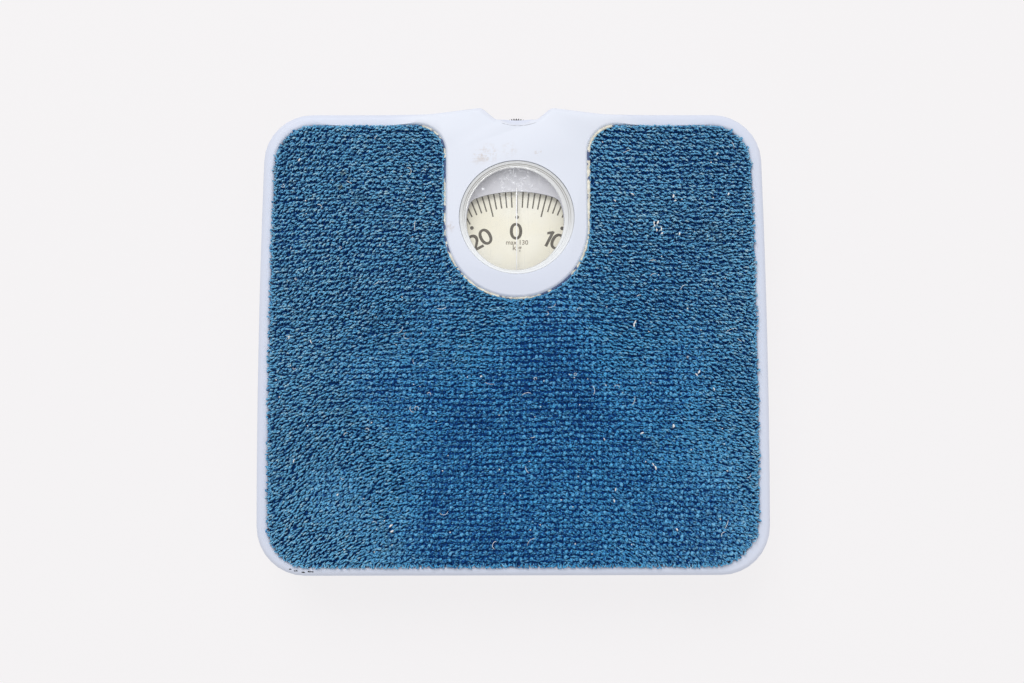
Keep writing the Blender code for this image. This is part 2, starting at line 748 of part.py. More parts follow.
def lens():
    """Clear domed window with a stepped rim and a flange under the cover."""
    flange_top = HOUSING_UNDER - FIT
    flange_bottom = flange_top - LENS_FLANGE_HEIGHT
    edge = HOUSING_TOP + LENS_DOME_PROUD
    step_z = HOUSING_TOP - LENS_STEP_DROP
    inner_radius = LENS_DOME_RADIUS - LENS_WALL
    profile = [
        (LENS_DOME_RADIUS * share, edge + lens_crown(LENS_DOME_RADIUS * share))
        for share in LENS_DOME_SHARES
    ]
    profile += [
        (LENS_DOME_RADIUS + FIT, HOUSING_TOP),
        (LENS_STEP_RADIUS, HOUSING_TOP),
        (LENS_STEP_RADIUS + FIT, step_z),
        (LENS_BODY_RADIUS, step_z),
        (LENS_BODY_RADIUS, flange_top),
        (LENS_FLANGE_RADIUS, flange_top),
        (LENS_FLANGE_RADIUS, flange_bottom),
        (LENS_STEP_RADIUS, flange_bottom),
        (inner_radius, HOUSING_UNDER),
    ]
    profile += [
        (inner_radius * share, edge - LENS_WALL + lens_crown(inner_radius * share))
        for share in reversed(LENS_DOME_SHARES)
    ]
    return make_object("lens", turned(profile, centre=(AXIS_X, LENS_Y)), CLEAR)


def mask_window():
    """Outline of the mask's opening: a circle cut off by an arch round the dial's middle."""
    offset = LENS_Y - DIAL_Y
    outline = []
    for step in range(ROUND_STEPS):
        angle = math.tau * step / ROUND_STEPS
        across = math.sin(angle)
        up = math.cos(angle)
        arch = math.sqrt(MASK_ARCH_RADIUS ** 2 - (offset * across) ** 2) - offset * up
        overlap = max(MASK_SHOULDER - abs(arch - MASK_WINDOW_RADIUS), 0.0)
        reach = min(arch, MASK_WINDOW_RADIUS) - overlap ** 2 / (4 * MASK_SHOULDER)
        outline.append((AXIS_X + reach * across, LENS_Y + reach * up))
    return outline


def dial_mask():
    """Grey well under the lens, whose floor has the arched opening over the dial."""
    flange_top = HOUSING_UNDER - FIT
    shelf = flange_top - LENS_FLANGE_HEIGHT - FIT
    well = MASK_WELL_RADIUS
    collar = LENS_FLANGE_RADIUS + FIT
    floor_top = MASK_FLOOR + MASK_SHEET
    profile = [
        (0.0, MASK_FLOOR),
        (well + MASK_SHEET, MASK_FLOOR),
        (well + MASK_SHEET, shelf - MASK_SHEET),
        (collar + MASK_SHEET, shelf - MASK_SHEET),
        (collar + MASK_SHEET, flange_top - MASK_SHEET),
        (MASK_RIM_RADIUS, flange_top - MASK_SHEET),
        (MASK_RIM_RADIUS, flange_top),
        (collar, flange_top),
        (collar, shelf),
        (well, shelf),
        (well, floor_top),
        (0.0, floor_top),
    ]
    well_bm = turned(profile, centre=(AXIS_X, LENS_Y))
    opening = prism(mask_window(), MASK_FLOOR - OVERRUN, floor_top + OVERRUN)
    return make_object("dial_mask", cut(well_bm, opening), MASK_GREY)


def pointer_line():
    """Fixed hairline strip that lies across the mask's opening."""
    rear = DIAL_Y + MASK_ARCH_RADIUS + POINTER_ABOVE_ARCH
    low = MASK_FLOOR + MASK_SHEET + FIT
    half = POINTER_WIDTH / 2
    strip = box(
        (AXIS_X - half, rear - POINTER_LENGTH, low), (AXIS_X + half, rear, low + POINTER_HEIGHT)
    )
    return make_object("pointer_line", strip, WHITE_LINE)


# Base pan and its small parts
def pan_body(inset):
    """Lofted tray with a rounded bottom edge, moved inwards by an inset."""
    corners = pan_corners()
    outside = SHEET + PAN_GAP + inset
    fillet = PAN_FILLET - inset
    bottom = PAN_BOTTOM + inset
    top = PAN_WALL_TOP + (OVERRUN if inset else 0.0)
    levels = []
    for step in range(SMALL_STEPS + 1):
        angle = math.pi / 2 * step / SMALL_STEPS
        inwards = outside + fillet * (1 - math.sin(angle))
        height = bottom + fillet * (1 - math.cos(angle))
        levels.append(level_at(rounded_outline(corners, inwards), height))
    levels.append(level_at(rounded_outline(corners, outside), top))
    return loft(levels)


def slot_outline(centre, length, width):
    """Plan of a slot with round ends that lies along X."""
    radius = width / 2
    reach = length / 2 - radius
    outline = []
    for side in (1, -1):
        for step in range(SMALL_STEPS * 2 + 1):
            angle = -math.pi / 2 + math.pi * step / (SMALL_STEPS * 2)
            x = side * (reach + radius * math.cos(angle))
            y = side * radius * math.sin(angle)
            outline.append((centre[0] + x, centre[1] + y))
    return outline


def rivet_places():
    """Plan places of the rivets that hold the brackets to the pan, by bracket name."""
    places = {}
    for side, label in ((-1, "left"), (1, "right")):
        for row, fulcrum, inward in (
            ("front", FRONT_FULCRUM_Y, 1),
            ("rear", REAR_FULCRUM_Y, -1),
        ):
            y = fulcrum - inward * (BRACKET_SHEET / 2 + POST_FLANGE / 2)
            places[f"post_{row}_{label}"] = (side * FULCRUM_HALF_X, y)
        foot_x = AXIS_X + side * (BRACKET_HALF + BRACKET_SHEET / 2 + BRACKET_FOOT / 2)
        places["bracket_" + label] = (foot_x, SPRING_Y)
        places["pan_tab_" + label] = (side * KEEPER_X, MIDDLE_Y - KEEPER_FLANGE)
    places["bridge"] = (AXIS_X, BRIDGE_FRONT_Y - BRIDGE_FOOT / 2)
    return places


def rivet_bore(place):
    """Hole for one rivet through the pan and a flange on it."""
    radius = RIVET_SHANK_RADIUS + FIT
    return rod((*place, 0.0), (*place, FLANGE_TOP + OVERRUN), radius)


def foot_places():
    """Plan places of the four feet, by corner name."""
    x = FULCRUM_HALF_X - FOOT_FROM_FULCRUM_X
    front = FRONT_FULCRUM_Y - FOOT_FROM_FULCRUM_Y
    rear = REAR_FULCRUM_Y + FOOT_FROM_FULCRUM_Y
    return {
        "front_left": (-x, front),
        "front_right": (x, front),
        "rear_left": (-x, rear),
        "rear_right": (x, rear),
    }


def base_pan():
    """Pressed tray with two stiffening beads and holes for its feet and rivets."""
    shell = cut(pan_body(0.0), pan_body(PAN_SHEET))
    for side in (1, -1):
        centre = (0.0, MIDDLE_Y + side * BEAD_SPACING / 2)
        raised = prism(
            slot_outline(centre, BEAD_LENGTH, BEAD_WIDTH),
            PAN_BOTTOM + PAN_SHEET / 2, PAN_TOP + BEAD_HEIGHT,
        )
        groove = prism(
            slot_outline(centre, BEAD_LENGTH - 2 * PAN_SHEET, BEAD_WIDTH - 2 * PAN_SHEET),
            PAN_BOTTOM - OVERRUN, PAN_BOTTOM + BEAD_HEIGHT,
        )
        shell = cut(join(shell, raised), groove)
    holes = [rivet_bore(place) for place in rivet_places().values()]
    for place in foot_places().values():
        radius = FOOT_STEM_RADIUS + FIT
        holes.append(rod((*place, 0.0), (*place, PAN_TOP + OVERRUN), radius))
    return make_object("base_pan", cut(shell, group(holes)), ENAMEL)


def feet():
    """Four snap-in rubber feet."""
    under = PAN_BOTTOM - FIT
    over = PAN_TOP + FIT
    profile = [
        (0.0, 0.0),
        (FOOT_RADIUS - FOOT_HEIGHT / 4, 0.0),
        (FOOT_RADIUS, FOOT_HEIGHT / 4),
        (FOOT_RADIUS - FOOT_HEIGHT / 6, under),
        (FOOT_STEM_RADIUS, under),
        (FOOT_STEM_RADIUS, over),
        (FOOT_HEAD_RADIUS, over),
        (FOOT_STEM_RADIUS, over + FOOT_HEAD_HEIGHT),
        (0.0, over + FOOT_HEAD_HEIGHT),
    ]
    for corner, place in foot_places().items():
        make_object("foot_" + corner, turned(profile, SMALL_ROUND_STEPS * 2, place), RUBBER)


def rivet(place):
    """One rivet with a head under the pan and a head on the flange."""
    under = PAN_BOTTOM - FIT
    over = FLANGE_TOP + FIT
    small = RIVET_HEAD_RADIUS * RIVET_CROWN_SHARE
    profile = [
        (0.0, under - RIVET_HEAD_HEIGHT),
        (small, under - RIVET_HEAD_HEIGHT),
        (RIVET_HEAD_RADIUS, under),
        (RIVET_SHANK_RADIUS, under),
        (RIVET_SHANK_RADIUS, over),
        (RIVET_HEAD_RADIUS, over),
        (small, over + RIVET_HEAD_HEIGHT),
        (0.0, over + RIVET_HEAD_HEIGHT),
    ]
    return turned(profile, SMALL_ROUND_STEPS, place)


def pan_rivets():
    """The rivets in the pan, one for each bracket's foot."""
    for bracket, place in rivet_places().items():
        make_object("rivet_" + bracket, rivet(place), ZINC, (*place, PAN_BOTTOM))


# Lever work
def long_arm_x(side, y):
    """Middle of a long lever's arm at a place along the part."""
    tip_x = AXIS_X + side * LEVER_TIP_SPACING
    share = (y - FRONT_FULCRUM_Y) / (SPRING_Y - FRONT_FULCRUM_Y)
    return side * FULCRUM_HALF_X + (tip_x - side * FULCRUM_HALF_X) * share


def short_arm_x(side, y):
    """Middle of a short lever at a place along the part."""
    tip_x = long_arm_x(side, MIDDLE_Y) + side * STIRRUP_SPACING
    share = (REAR_FULCRUM_Y - y) / FULCRUM_HALF_Y
    return side * FULCRUM_HALF_X + (tip_x - side * FULCRUM_HALF_X) * share


def strip_lever(outline, arm_x, side, fulcrum_y, load_y):
    """Steel strip on edge along its arm, with knife notches at fulcrum and load."""
    half = LEVER_THICKNESS / 2
    body = prism(outline, -half, half, "X")
    wide = SLOT_WIDTH
    under = [
        (fulcrum_y - NOTCH_V_HALF, LEVER_DEEP_BOTTOM - FIT),
        (fulcrum_y + NOTCH_V_HALF, LEVER_DEEP_BOTTOM - FIT),
        (fulcrum_y, KNIFE_Z + FIT),
    ]
    over = [
        (load_y - NOTCH_V_HALF, LEVER_TOP + FIT),
        (load_y, BEARER_KNIFE_Z - FIT),
        (load_y + NOTCH_V_HALF, LEVER_TOP + FIT),
    ]
    body = cut(body, prism(under, -wide, wide, "X"), prism(over, -wide, wide, "X"))
    for vert in body.verts:
        vert.co.x += arm_x(side, vert.co.y)
    return body


def long_levers():
    """The two long arms, which run from the front fulcrums to the spring hanger."""
    start = FRONT_FULCRUM_Y
    outline = [
        (start - LEVER_OVERHANG, LEVER_DEEP_BOTTOM),
        (start + LOAD_ARM + LEVER_OVERHANG, LEVER_DEEP_BOTTOM),
        (MIDDLE_Y - LOAD_ARM, LEVER_BOTTOM),
        (MIDDLE_Y + LOAD_ARM, LEVER_BOTTOM),
        (SPRING_Y + LEVER_TIP_REACH, LEVER_TIP_BOTTOM),
        (SPRING_Y + LEVER_TIP_REACH, LEVER_TIP_TOP),
        (SPRING_Y - LOAD_ARM, LEVER_TOP),
        (start - LEVER_OVERHANG, LEVER_TOP),
    ]
    for side, label in ((-1, "left"), (1, "right")):
        body = strip_lever(outline, long_arm_x, side, start, start + LOAD_ARM)
        make_object("long_lever_" + label, body, ZINC, (0.0, start, KNIFE_Z))


def short_levers():
    """The two short levers, which run from the rear fulcrums to the stirrups."""
    start = REAR_FULCRUM_Y
    outline = [
        (start + LEVER_OVERHANG, LEVER_DEEP_BOTTOM),
        (start + LEVER_OVERHANG, LEVER_TOP),
        (start - LOAD_ARM - LEVER_OVERHANG, LEVER_TOP),
        (MIDDLE_Y - SHORT_TIP_REACH, SHORT_TIP_TOP),
        (MIDDLE_Y - SHORT_TIP_REACH, SHORT_TIP_BOTTOM),
        (MIDDLE_Y + LOAD_ARM, SHORT_TIP_BOTTOM),
        (start - LOAD_ARM - LEVER_OVERHANG, LEVER_DEEP_BOTTOM),
    ]
    for side, label in ((-1, "left"), (1, "right")):
        body = strip_lever(outline, short_arm_x, side, start, start - LOAD_ARM)
        make_object("short_lever_" + label, body, ZINC, (0.0, start, KNIFE_Z))


def slot_tool(x, y, low, high, knife_up, depth):
    """Slot across a plate, whose closed end keeps a knife edge along X."""
    half = SLOT_WIDTH / 2
    if knife_up:
        outline = [
            (y - depth, high), (y - depth, low - KNIFE_HEIGHT), (y, low),
            (y + depth, low - KNIFE_HEIGHT), (y + depth, high),
        ]
    else:
        outline = [
            (y - depth, low), (y + depth, low), (y + depth, high + KNIFE_HEIGHT),
            (y, high), (y - depth, high + KNIFE_HEIGHT),
        ]
    return prism(outline, x - half, x + half, "X")


def fulcrum_posts():
    """Four angle brackets on the pan, whose knife edges carry the levers."""
    half = BRACKET_SHEET / 2
    for y, inward, arm_x, row in (
        (FRONT_FULCRUM_Y, 1, long_arm_x, "front"),
        (REAR_FULCRUM_Y, -1, short_arm_x, "rear"),
    ):
        foot_y = y - inward * (half + POST_FLANGE)
        near_y = y - inward * half
        far_y = y + inward * half
        outline = [
            (foot_y, FLANGE_BOTTOM), (far_y, FLANGE_BOTTOM), (far_y, POST_TOP),
            (near_y, POST_TOP), (near_y, FLANGE_TOP), (foot_y, FLANGE_TOP),
        ]
        for side, label in ((-1, "left"), (1, "right")):
            x = side * FULCRUM_HALF_X
            post = prism(outline, x - POST_WIDTH / 2, x + POST_WIDTH / 2, "X")
            slot = slot_tool(arm_x(side, y), y, KNIFE_Z, POST_TOP + OVERRUN, True, 2 * half)
            name = f"post_{row}_{label}"
            make_object(name, cut(post, slot, rivet_bore(rivet_places()[name])), ZINC)


def bearers():
    """Four angle brackets under the cover, whose knife edges press on the levers."""
    half = BRACKET_SHEET / 2
    top = COVER_UNDER - FIT
    for y, inward, arm_x, row in (
        (FRONT_FULCRUM_Y + LOAD_ARM, 1, long_arm_x, "front"),
        (REAR_FULCRUM_Y - LOAD_ARM, -1, short_arm_x, "rear"),
    ):
        foot_y = y + inward * (half + POST_FLANGE)
        near_y = y + inward * half
        far_y = y - inward * half
        outline = [
            (foot_y, top), (far_y, top), (far_y, BEARER_BOTTOM),
            (near_y, BEARER_BOTTOM), (near_y, top - BRACKET_SHEET),
            (foot_y, top - BRACKET_SHEET),
        ]
        for side, label in ((-1, "left"), (1, "right")):
            x = arm_x(side, y)
            plate = prism(outline, x - POST_WIDTH / 2, x + POST_WIDTH / 2, "X")
            low = BEARER_BOTTOM - OVERRUN
            slot = slot_tool(x, y, low, BEARER_KNIFE_Z, False, 2 * half)
            make_object(f"bearer_{row}_{label}", cut(plate, slot), ZINC)


def tie_bar():
    """Bar that ties the two long arms together and saddles both of them."""
    y = SPRING_Y - TIE_FROM_SPRING
    low_y = y - BRACKET_SHEET / 2
    high_y = y + BRACKET_SHEET / 2
    left = long_arm_x(-1, y) - TIE_OVERHANG
    right = long_arm_x(1, y) + TIE_OVERHANG
    bar = box((left, low_y, TIE_BOTTOM), (right, high_y, TIE_TOP))
    for side in (-1, 1):
        x = long_arm_x(side, y)
        half = SLOT_WIDTH / 2 - FIT
        low = (x - half, low_y - OVERRUN, TIE_BOTTOM - OVERRUN)
        high = (x + half, high_y + OVERRUN, LEVER_TOP + FIT)
        bar = cut(bar, box(low, high))
    make_object("lever_tie_bar", bar, ZINC, (0.0, FRONT_FULCRUM_Y, KNIFE_Z))


def stirrups():
    """Two closed links, which hang the short levers' tips on the long arms."""
    half = STIRRUP_THICKNESS / 2
    low_y = MIDDLE_Y - half
    high_y = MIDDLE_Y + half
    reach = LEVER_THICKNESS / 2 + STIRRUP_SIDE_GAP
    for side, label in ((-1, "left"), (1, "right")):
        ends = (
            long_arm_x(side, MIDDLE_Y) - side * reach,
            short_arm_x(side, MIDDLE_Y) + side * reach,
        )
        left, right = sorted(ends)
        bottom = SHORT_TIP_BOTTOM - FIT
        top = LEVER_TOP + FIT
        ring = box(
            (left - STIRRUP_BAR, low_y, bottom - STIRRUP_BAR),
            (right + STIRRUP_BAR, high_y, top + STIRRUP_BAR),
        )
        window = box((left, low_y - OVERRUN, bottom), (right, high_y + OVERRUN, top))
        make_object("stirrup_" + label, cut(ring, window), ZINC, (0.0, FRONT_FULCRUM_Y, KNIFE_Z))


# Main spring and zero wheel
def coil_points(centre, low, turns, pitch, radius, per_turn):
    """Points of a coil that climbs along +Z."""
    points = []
    for step in range(turns * per_turn + 1):
        angle = math.tau * step / per_turn
        points.append((
            centre[0] + radius * math.cos(angle),
            centre[1] + radius * math.sin(angle),
            low + pitch * step / per_turn,
        ))
    return points


def main_spring():
    """Extension spring that carries the levers' tips."""
    points = coil_points(
        (AXIS_X, SPRING_Y), SPRING_LOW, SPRING_TURNS, SPRING_PITCH, SPRING_RADIUS, COIL_POINTS
    )
    gap = least_gap(points, SPRING_WIRE_RADIUS, COIL_POINTS - 2)
    print(f"main_spring: least gap to itself {gap * 1000:.2f} mm")
    coil_object("main_spring", points, SPRING_WIRE_RADIUS, SPRING_STEEL)


def spring_hanger():
    """Plate under the levers' tips, with the spring's lower plug and the crank's tab."""
    half_y = HANGER_DEPTH / 2
    plate = box(
        (AXIS_X - HANGER_HALF, SPRING_Y - half_y, HANGER_BOTTOM),
        (AXIS_X + HANGER_HALF, SPRING_Y + half_y, HANGER_TOP),
    )
    tip_y = CRANK_Y + CRANK_SHORT_ARM * math.cos(math.radians(CRANK_SWING_DEG / 2))
    tab = box(
        (AXIS_X + CRANK_X - 2 * CRANK_THICKNESS, tip_y, HANGER_BOTTOM),
        (AXIS_X + CRANK_X + 2 * CRANK_THICKNESS, SPRING_Y, HANGER_TOP),
    )
    profile = [
        (0.0, HANGER_BOTTOM), (PLUG_RADIUS, HANGER_BOTTOM),
        (PLUG_RADIUS, HANGER_TOP + PLUG_LENGTH), (0.0, HANGER_TOP + PLUG_LENGTH),
    ]
    plug = turned(profile, SMALL_ROUND_STEPS * 2, (AXIS_X, SPRING_Y))
    make_object("spring_hanger", join(plate, tab, plug), ZINC, (AXIS_X, SPRING_Y, HANGER_BOTTOM))


def adjuster_screw():
    """Upper spring plug with the screw that the zero wheel lifts and lowers."""
    disc_top = PLUG_DISC_BOTTOM + PLUG_DISC_HEIGHT
    screw_top = WHEEL_TOP + ADJUSTER_PROUD
    profile = [
        (0.0, PLUG_DISC_BOTTOM - PLUG_LENGTH),
        (PLUG_RADIUS, PLUG_DISC_BOTTOM - PLUG_LENGTH),
        (PLUG_RADIUS, PLUG_DISC_BOTTOM),
        (PLUG_DISC_RADIUS, PLUG_DISC_BOTTOM),
        (PLUG_DISC_RADIUS, disc_top),
        (ADJUSTER_RADIUS, disc_top),
        (ADJUSTER_RADIUS, screw_top - FIT),
        (ADJUSTER_RADIUS - FIT, screw_top),
        (0.0, screw_top),
    ]
    body = turned(profile, SMALL_ROUND_STEPS * 2, (AXIS_X, SPRING_Y))
    make_object("adjuster_screw", body, BRASS, (AXIS_X, SPRING_Y, disc_top))


def zero_wheel():
    """Knurled thumb wheel with a dished top and a bore for the adjuster screw."""
    def knurl(inset):
        outline = []
        for tooth in range(KNURL_COUNT * 2):
            angle = math.tau * tooth / (KNURL_COUNT * 2)
            radius = WHEEL_RADIUS - inset - (KNURL_DEPTH if tooth % 2 else 0.0)
            x = AXIS_X + radius * math.cos(angle)
            outline.append((x, SPRING_Y + radius * math.sin(angle)))
        return outline

    body = loft([
        level_at(knurl(WHEEL_CHAMFER), WHEEL_BOTTOM),
        level_at(knurl(0.0), WHEEL_BOTTOM + WHEEL_CHAMFER),
        level_at(knurl(0.0), WHEEL_TOP - WHEEL_CHAMFER),
        level_at(knurl(WHEEL_CHAMFER), WHEEL_TOP),
    ])
    centre = (AXIS_X, SPRING_Y)
    rim = WHEEL_RADIUS - 3 * WHEEL_DISH
    dish = turned([
        (WHEEL_HUB_RADIUS, WHEEL_TOP - WHEEL_DISH), (rim, WHEEL_TOP - WHEEL_DISH),
        (rim, WHEEL_TOP + WHEEL_DISH), (WHEEL_HUB_RADIUS, WHEEL_TOP + WHEEL_DISH),
    ], SMALL_ROUND_STEPS * 2, centre)
    low = (*centre, WHEEL_BOTTOM - OVERRUN)
    bore = rod(low, (*centre, WHEEL_TOP + OVERRUN), WHEEL_BORE)
    make_object("zero_wheel", cut(body, dish, bore), BLACK_PLASTIC, (*centre, WHEEL_BOTTOM))


def spring_bracket():
    """Gantry over the spring, with flanged feet and two shelves for the bridge."""
    out = BRACKET_HALF + BRACKET_SHEET / 2
    inn = BRACKET_HALF - BRACKET_SHEET / 2
    foot = out + BRACKET_FOOT
    bend = BRACKET_BEND
    half = [
        (foot, FLANGE_BOTTOM), (foot, FLANGE_TOP), (out, FLANGE_TOP),
        (out, BRACKET_TOP - bend), (out - bend, BRACKET_TOP),
    ]
    under = [(inn - bend, BRACKET_UNDER), (inn, BRACKET_UNDER - bend), (inn, FLANGE_BOTTOM)]
    outline = half + [(-x, z) for x, z in reversed(half)]
    outline += [(-x, z) for x, z in reversed(under)] + under
    outline = [(AXIS_X + x, z) for x, z in outline]
    low_y = SPRING_Y - BRACKET_DEPTH / 2
    gantry = prism(outline, low_y, SPRING_Y + BRACKET_DEPTH / 2, "Y")
    shelf_top = BRIDGE_BOTTOM - FIT
    shelf_y = low_y - SHELF_REACH
    parts = []
    for side in (1, -1):
        xs = sorted((AXIS_X + side * inn, AXIS_X + side * out))
        parts.append(box(
            (xs[0], shelf_y, shelf_top - SHELF_WEB), (xs[1], low_y + BRACKET_SHEET, shelf_top)
        ))
        xs = sorted((AXIS_X + side * out, AXIS_X + side * (out - SHELF_INWARD)))
        parts.append(box(
            (xs[0], shelf_y, shelf_top - BRACKET_SHEET), (xs[1], shelf_y + SHELF_DEPTH, shelf_top)
        ))
    holes = [rod(
        (AXIS_X, SPRING_Y, BRACKET_UNDER - OVERRUN), (AXIS_X, SPRING_Y, BRACKET_TOP + OVERRUN),
        WHEEL_BORE,
    )]
    holes += [rivet_bore(rivet_places()["bracket_" + label]) for label in ("left", "right")]
    holes += [bridge_screw_bore(place) for place in bridge_screw_places().values()]
    make_object("spring_bracket", cut(join(gantry, *parts), group(holes)), ZINC)


# Bridge, crank and dial drive
def bridge_screw_places():
    """Plan places of the two screws that hold the bridge to its shelves."""
    shelf_y = SPRING_Y - BRACKET_DEPTH / 2 - SHELF_REACH + SHELF_DEPTH / 2
    reach = BRACKET_HALF - SHELF_INWARD / 2
    return {"left": (AXIS_X - reach, shelf_y), "right": (AXIS_X + reach, shelf_y)}


def bridge_screw_bore(place):
    """Hole for one bridge screw through bridge and shelf."""
    low = (*place, BRIDGE_BOTTOM - 2 * OVERRUN)
    return rod(low, (*place, BRIDGE_TOP + OVERRUN), RIVET_SHANK_RADIUS + FIT)


def bridge():
    """Long bent strip that carries the bearing and the crank's two ears."""
    front = BRIDGE_FRONT_Y
    outline = [
        (front - BRIDGE_FOOT, FLANGE_BOTTOM), (front + BRACKET_SHEET, FLANGE_BOTTOM),
        (front + BRACKET_SHEET, BRIDGE_BOTTOM - BRACKET_SHEET),
        (front + 2 * BRACKET_SHEET, BRIDGE_BOTTOM), (BRIDGE_REAR_Y, BRIDGE_BOTTOM),
        (BRIDGE_REAR_Y, BRIDGE_TOP), (front + BRACKET_SHEET, BRIDGE_TOP),
        (front, BRIDGE_TOP - BRACKET_SHEET), (front, FLANGE_TOP),
        (front - BRIDGE_FOOT, FLANGE_TOP),
    ]
    strip = prism(outline, AXIS_X - BRIDGE_HALF, AXIS_X + BRIDGE_HALF, "X")
    arm_reach = BRACKET_HALF - BRACKET_SHEET / 2 - FIT
    arms = box(
        (AXIS_X - arm_reach, BRIDGE_REAR_Y - BRIDGE_ARM_DEPTH, BRIDGE_BOTTOM),
        (AXIS_X + arm_reach, BRIDGE_REAR_Y, BRIDGE_TOP),
    )
    ears = []
    crank_mid = AXIS_X + CRANK_X
    for side in (1, -1):
        near = crank_mid + side * (CRANK_THICKNESS / 2 + EAR_GAP)
        xs = sorted((near, near + side * BRACKET_SHEET))
        ears.append(box(
            (xs[0], CRANK_Y - EAR_HALF, EAR_BOTTOM), (xs[1], CRANK_Y + EAR_HALF, BRIDGE_TOP)
        ))
    slot_half = CRANK_THICKNESS / 2 + EAR_GAP
    slot = box(
        (crank_mid - slot_half, RACK_EYE_Y - CRANK_HUB_RADIUS, BRIDGE_BOTTOM - OVERRUN),
        (crank_mid + slot_half, BRIDGE_REAR_Y - BRACKET_SHEET, BRIDGE_TOP + OVERRUN),
    )
    pivot = rod(
        (AXIS_X, CRANK_Y, CRANK_Z), (AXIS_X + BRIDGE_HALF + OVERRUN, CRANK_Y, CRANK_Z),
        PIVOT_RADIUS + FIT,
    )
    bearing = rod(
        (AXIS_X, DIAL_Y, BRIDGE_BOTTOM - OVERRUN), (AXIS_X, DIAL_Y, BRIDGE_TOP + OVERRUN),
        BUSH_RADIUS + FIT,
    )
    holes = [slot, pivot, bearing]
    holes += [bridge_screw_bore(place) for place in bridge_screw_places().values()]
    holes.append(rivet_bore(rivet_places()["bridge"]))
    body = join(strip, arms, *ears)
    make_object("bridge", cut(body, *holes), ZINC)


def bridge_screws():
    """Two pan-head screws through bridge and shelves."""
    low = BRIDGE_BOTTOM - FIT - SHELF_WEB - RIVET_HEAD_HEIGHT
    seat = BRIDGE_TOP + FIT
    for side, place in bridge_screw_places().items():
        profile = [
            (0.0, low), (RIVET_SHANK_RADIUS, low), (RIVET_SHANK_RADIUS, seat),
            (RIVET_HEAD_RADIUS, seat), (RIVET_HEAD_RADIUS, seat + RIVET_HEAD_HEIGHT),
            (RIVET_SHANK_RADIUS, seat + 2 * RIVET_HEAD_HEIGHT),
            (0.0, seat + 2 * RIVET_HEAD_HEIGHT),
        ]
        body = turned(profile, SMALL_ROUND_STEPS, place)
        make_object("bridge_screw_" + side, body, BRASS, (*place, BRIDGE_TOP))


def crank_pivot_pin():
    """Pin through the bridge's ears, with a head at each end."""
    crank_mid = AXIS_X + CRANK_X
    reach = CRANK_THICKNESS / 2 + EAR_GAP + BRACKET_SHEET + FIT
    end = reach + BRACKET_SHEET / 2
    inside = reach + BRACKET_SHEET / 4
    pin = rod(
        (crank_mid - inside, CRANK_Y, CRANK_Z), (crank_mid + inside, CRANK_Y, CRANK_Z),
        PIVOT_RADIUS,
    )
    heads = [
        rod(
            (crank_mid + side * reach, CRANK_Y, CRANK_Z),
            (crank_mid + side * end, CRANK_Y, CRANK_Z), PIVOT_HEAD_RADIUS,
        )
        for side in (1, -1)
    ]
    make_object("crank_pivot_pin", join(pin, *heads), ZINC)


def capsule(start, end, radius, steps=SMALL_STEPS):
    """Plan of an arm with round ends between two (y, z) points."""
    start = Vector(start)
    along = Vector(end) - start
    heading = math.atan2(along.y, along.x)
    outline = []
    for base, turn in ((start, math.pi / 2), (Vector(end), -math.pi / 2)):
        for step in range(steps * 2 + 1):
            angle = heading + turn + math.pi * step / (steps * 2)
            outline.append((base.x + radius * math.cos(angle), base.y + radius * math.sin(angle)))
    return outline


def bell_crank():
    """Bell crank: its short arm rests on the hanger's tab, its long arm drives the rack."""
    low_x = AXIS_X + CRANK_X - CRANK_THICKNESS / 2
    high_x = low_x + CRANK_THICKNESS
    swing = math.radians(CRANK_SWING_DEG / 2)
    pivot = (CRANK_Y, CRANK_Z)
    tip = (
        CRANK_Y + CRANK_SHORT_ARM * math.cos(swing),
        CRANK_Z + CRANK_SHORT_ARM * math.sin(swing),
    )
    top = (
        CRANK_Y - CRANK_LONG_ARM * math.sin(swing),
        CRANK_Z + CRANK_LONG_ARM * math.cos(swing),
    )
    short_arm = prism(capsule(pivot, tip, CRANK_END_RADIUS), low_x, high_x, "X")
    long_arm = prism(capsule(pivot, top, CRANK_ARM_HALF), low_x, high_x, "X")
    hub_low = (low_x - EAR_GAP + FIT, *pivot)
    hub = rod(hub_low, (high_x + EAR_GAP - FIT, *pivot), CRANK_HUB_RADIUS)
    pin = rod((high_x - FIT, *top), (low_x - CRANK_PIN_REACH, *top), CRANK_PIN_RADIUS)
    bore = rod(
        (low_x - OVERRUN, *pivot), (high_x + OVERRUN, *pivot), PIVOT_RADIUS + FIT
    )
    body = cut(join(short_arm, long_arm, hub, pin), bore)
    make_object("bell_crank", body, ZINC, (AXIS_X + CRANK_X, *pivot))


def tooth_half_widths():
    """Half widths of a tooth at its tip, pitch line and root."""
    return (
        TOOTH_TIP_SHARE * TOOTH_PITCH / 2,
        TOOTH_THICKNESS_SHARE * TOOTH_PITCH / 2,
        TOOTH_ROOT_SHARE * TOOTH_PITCH / 2,
    )


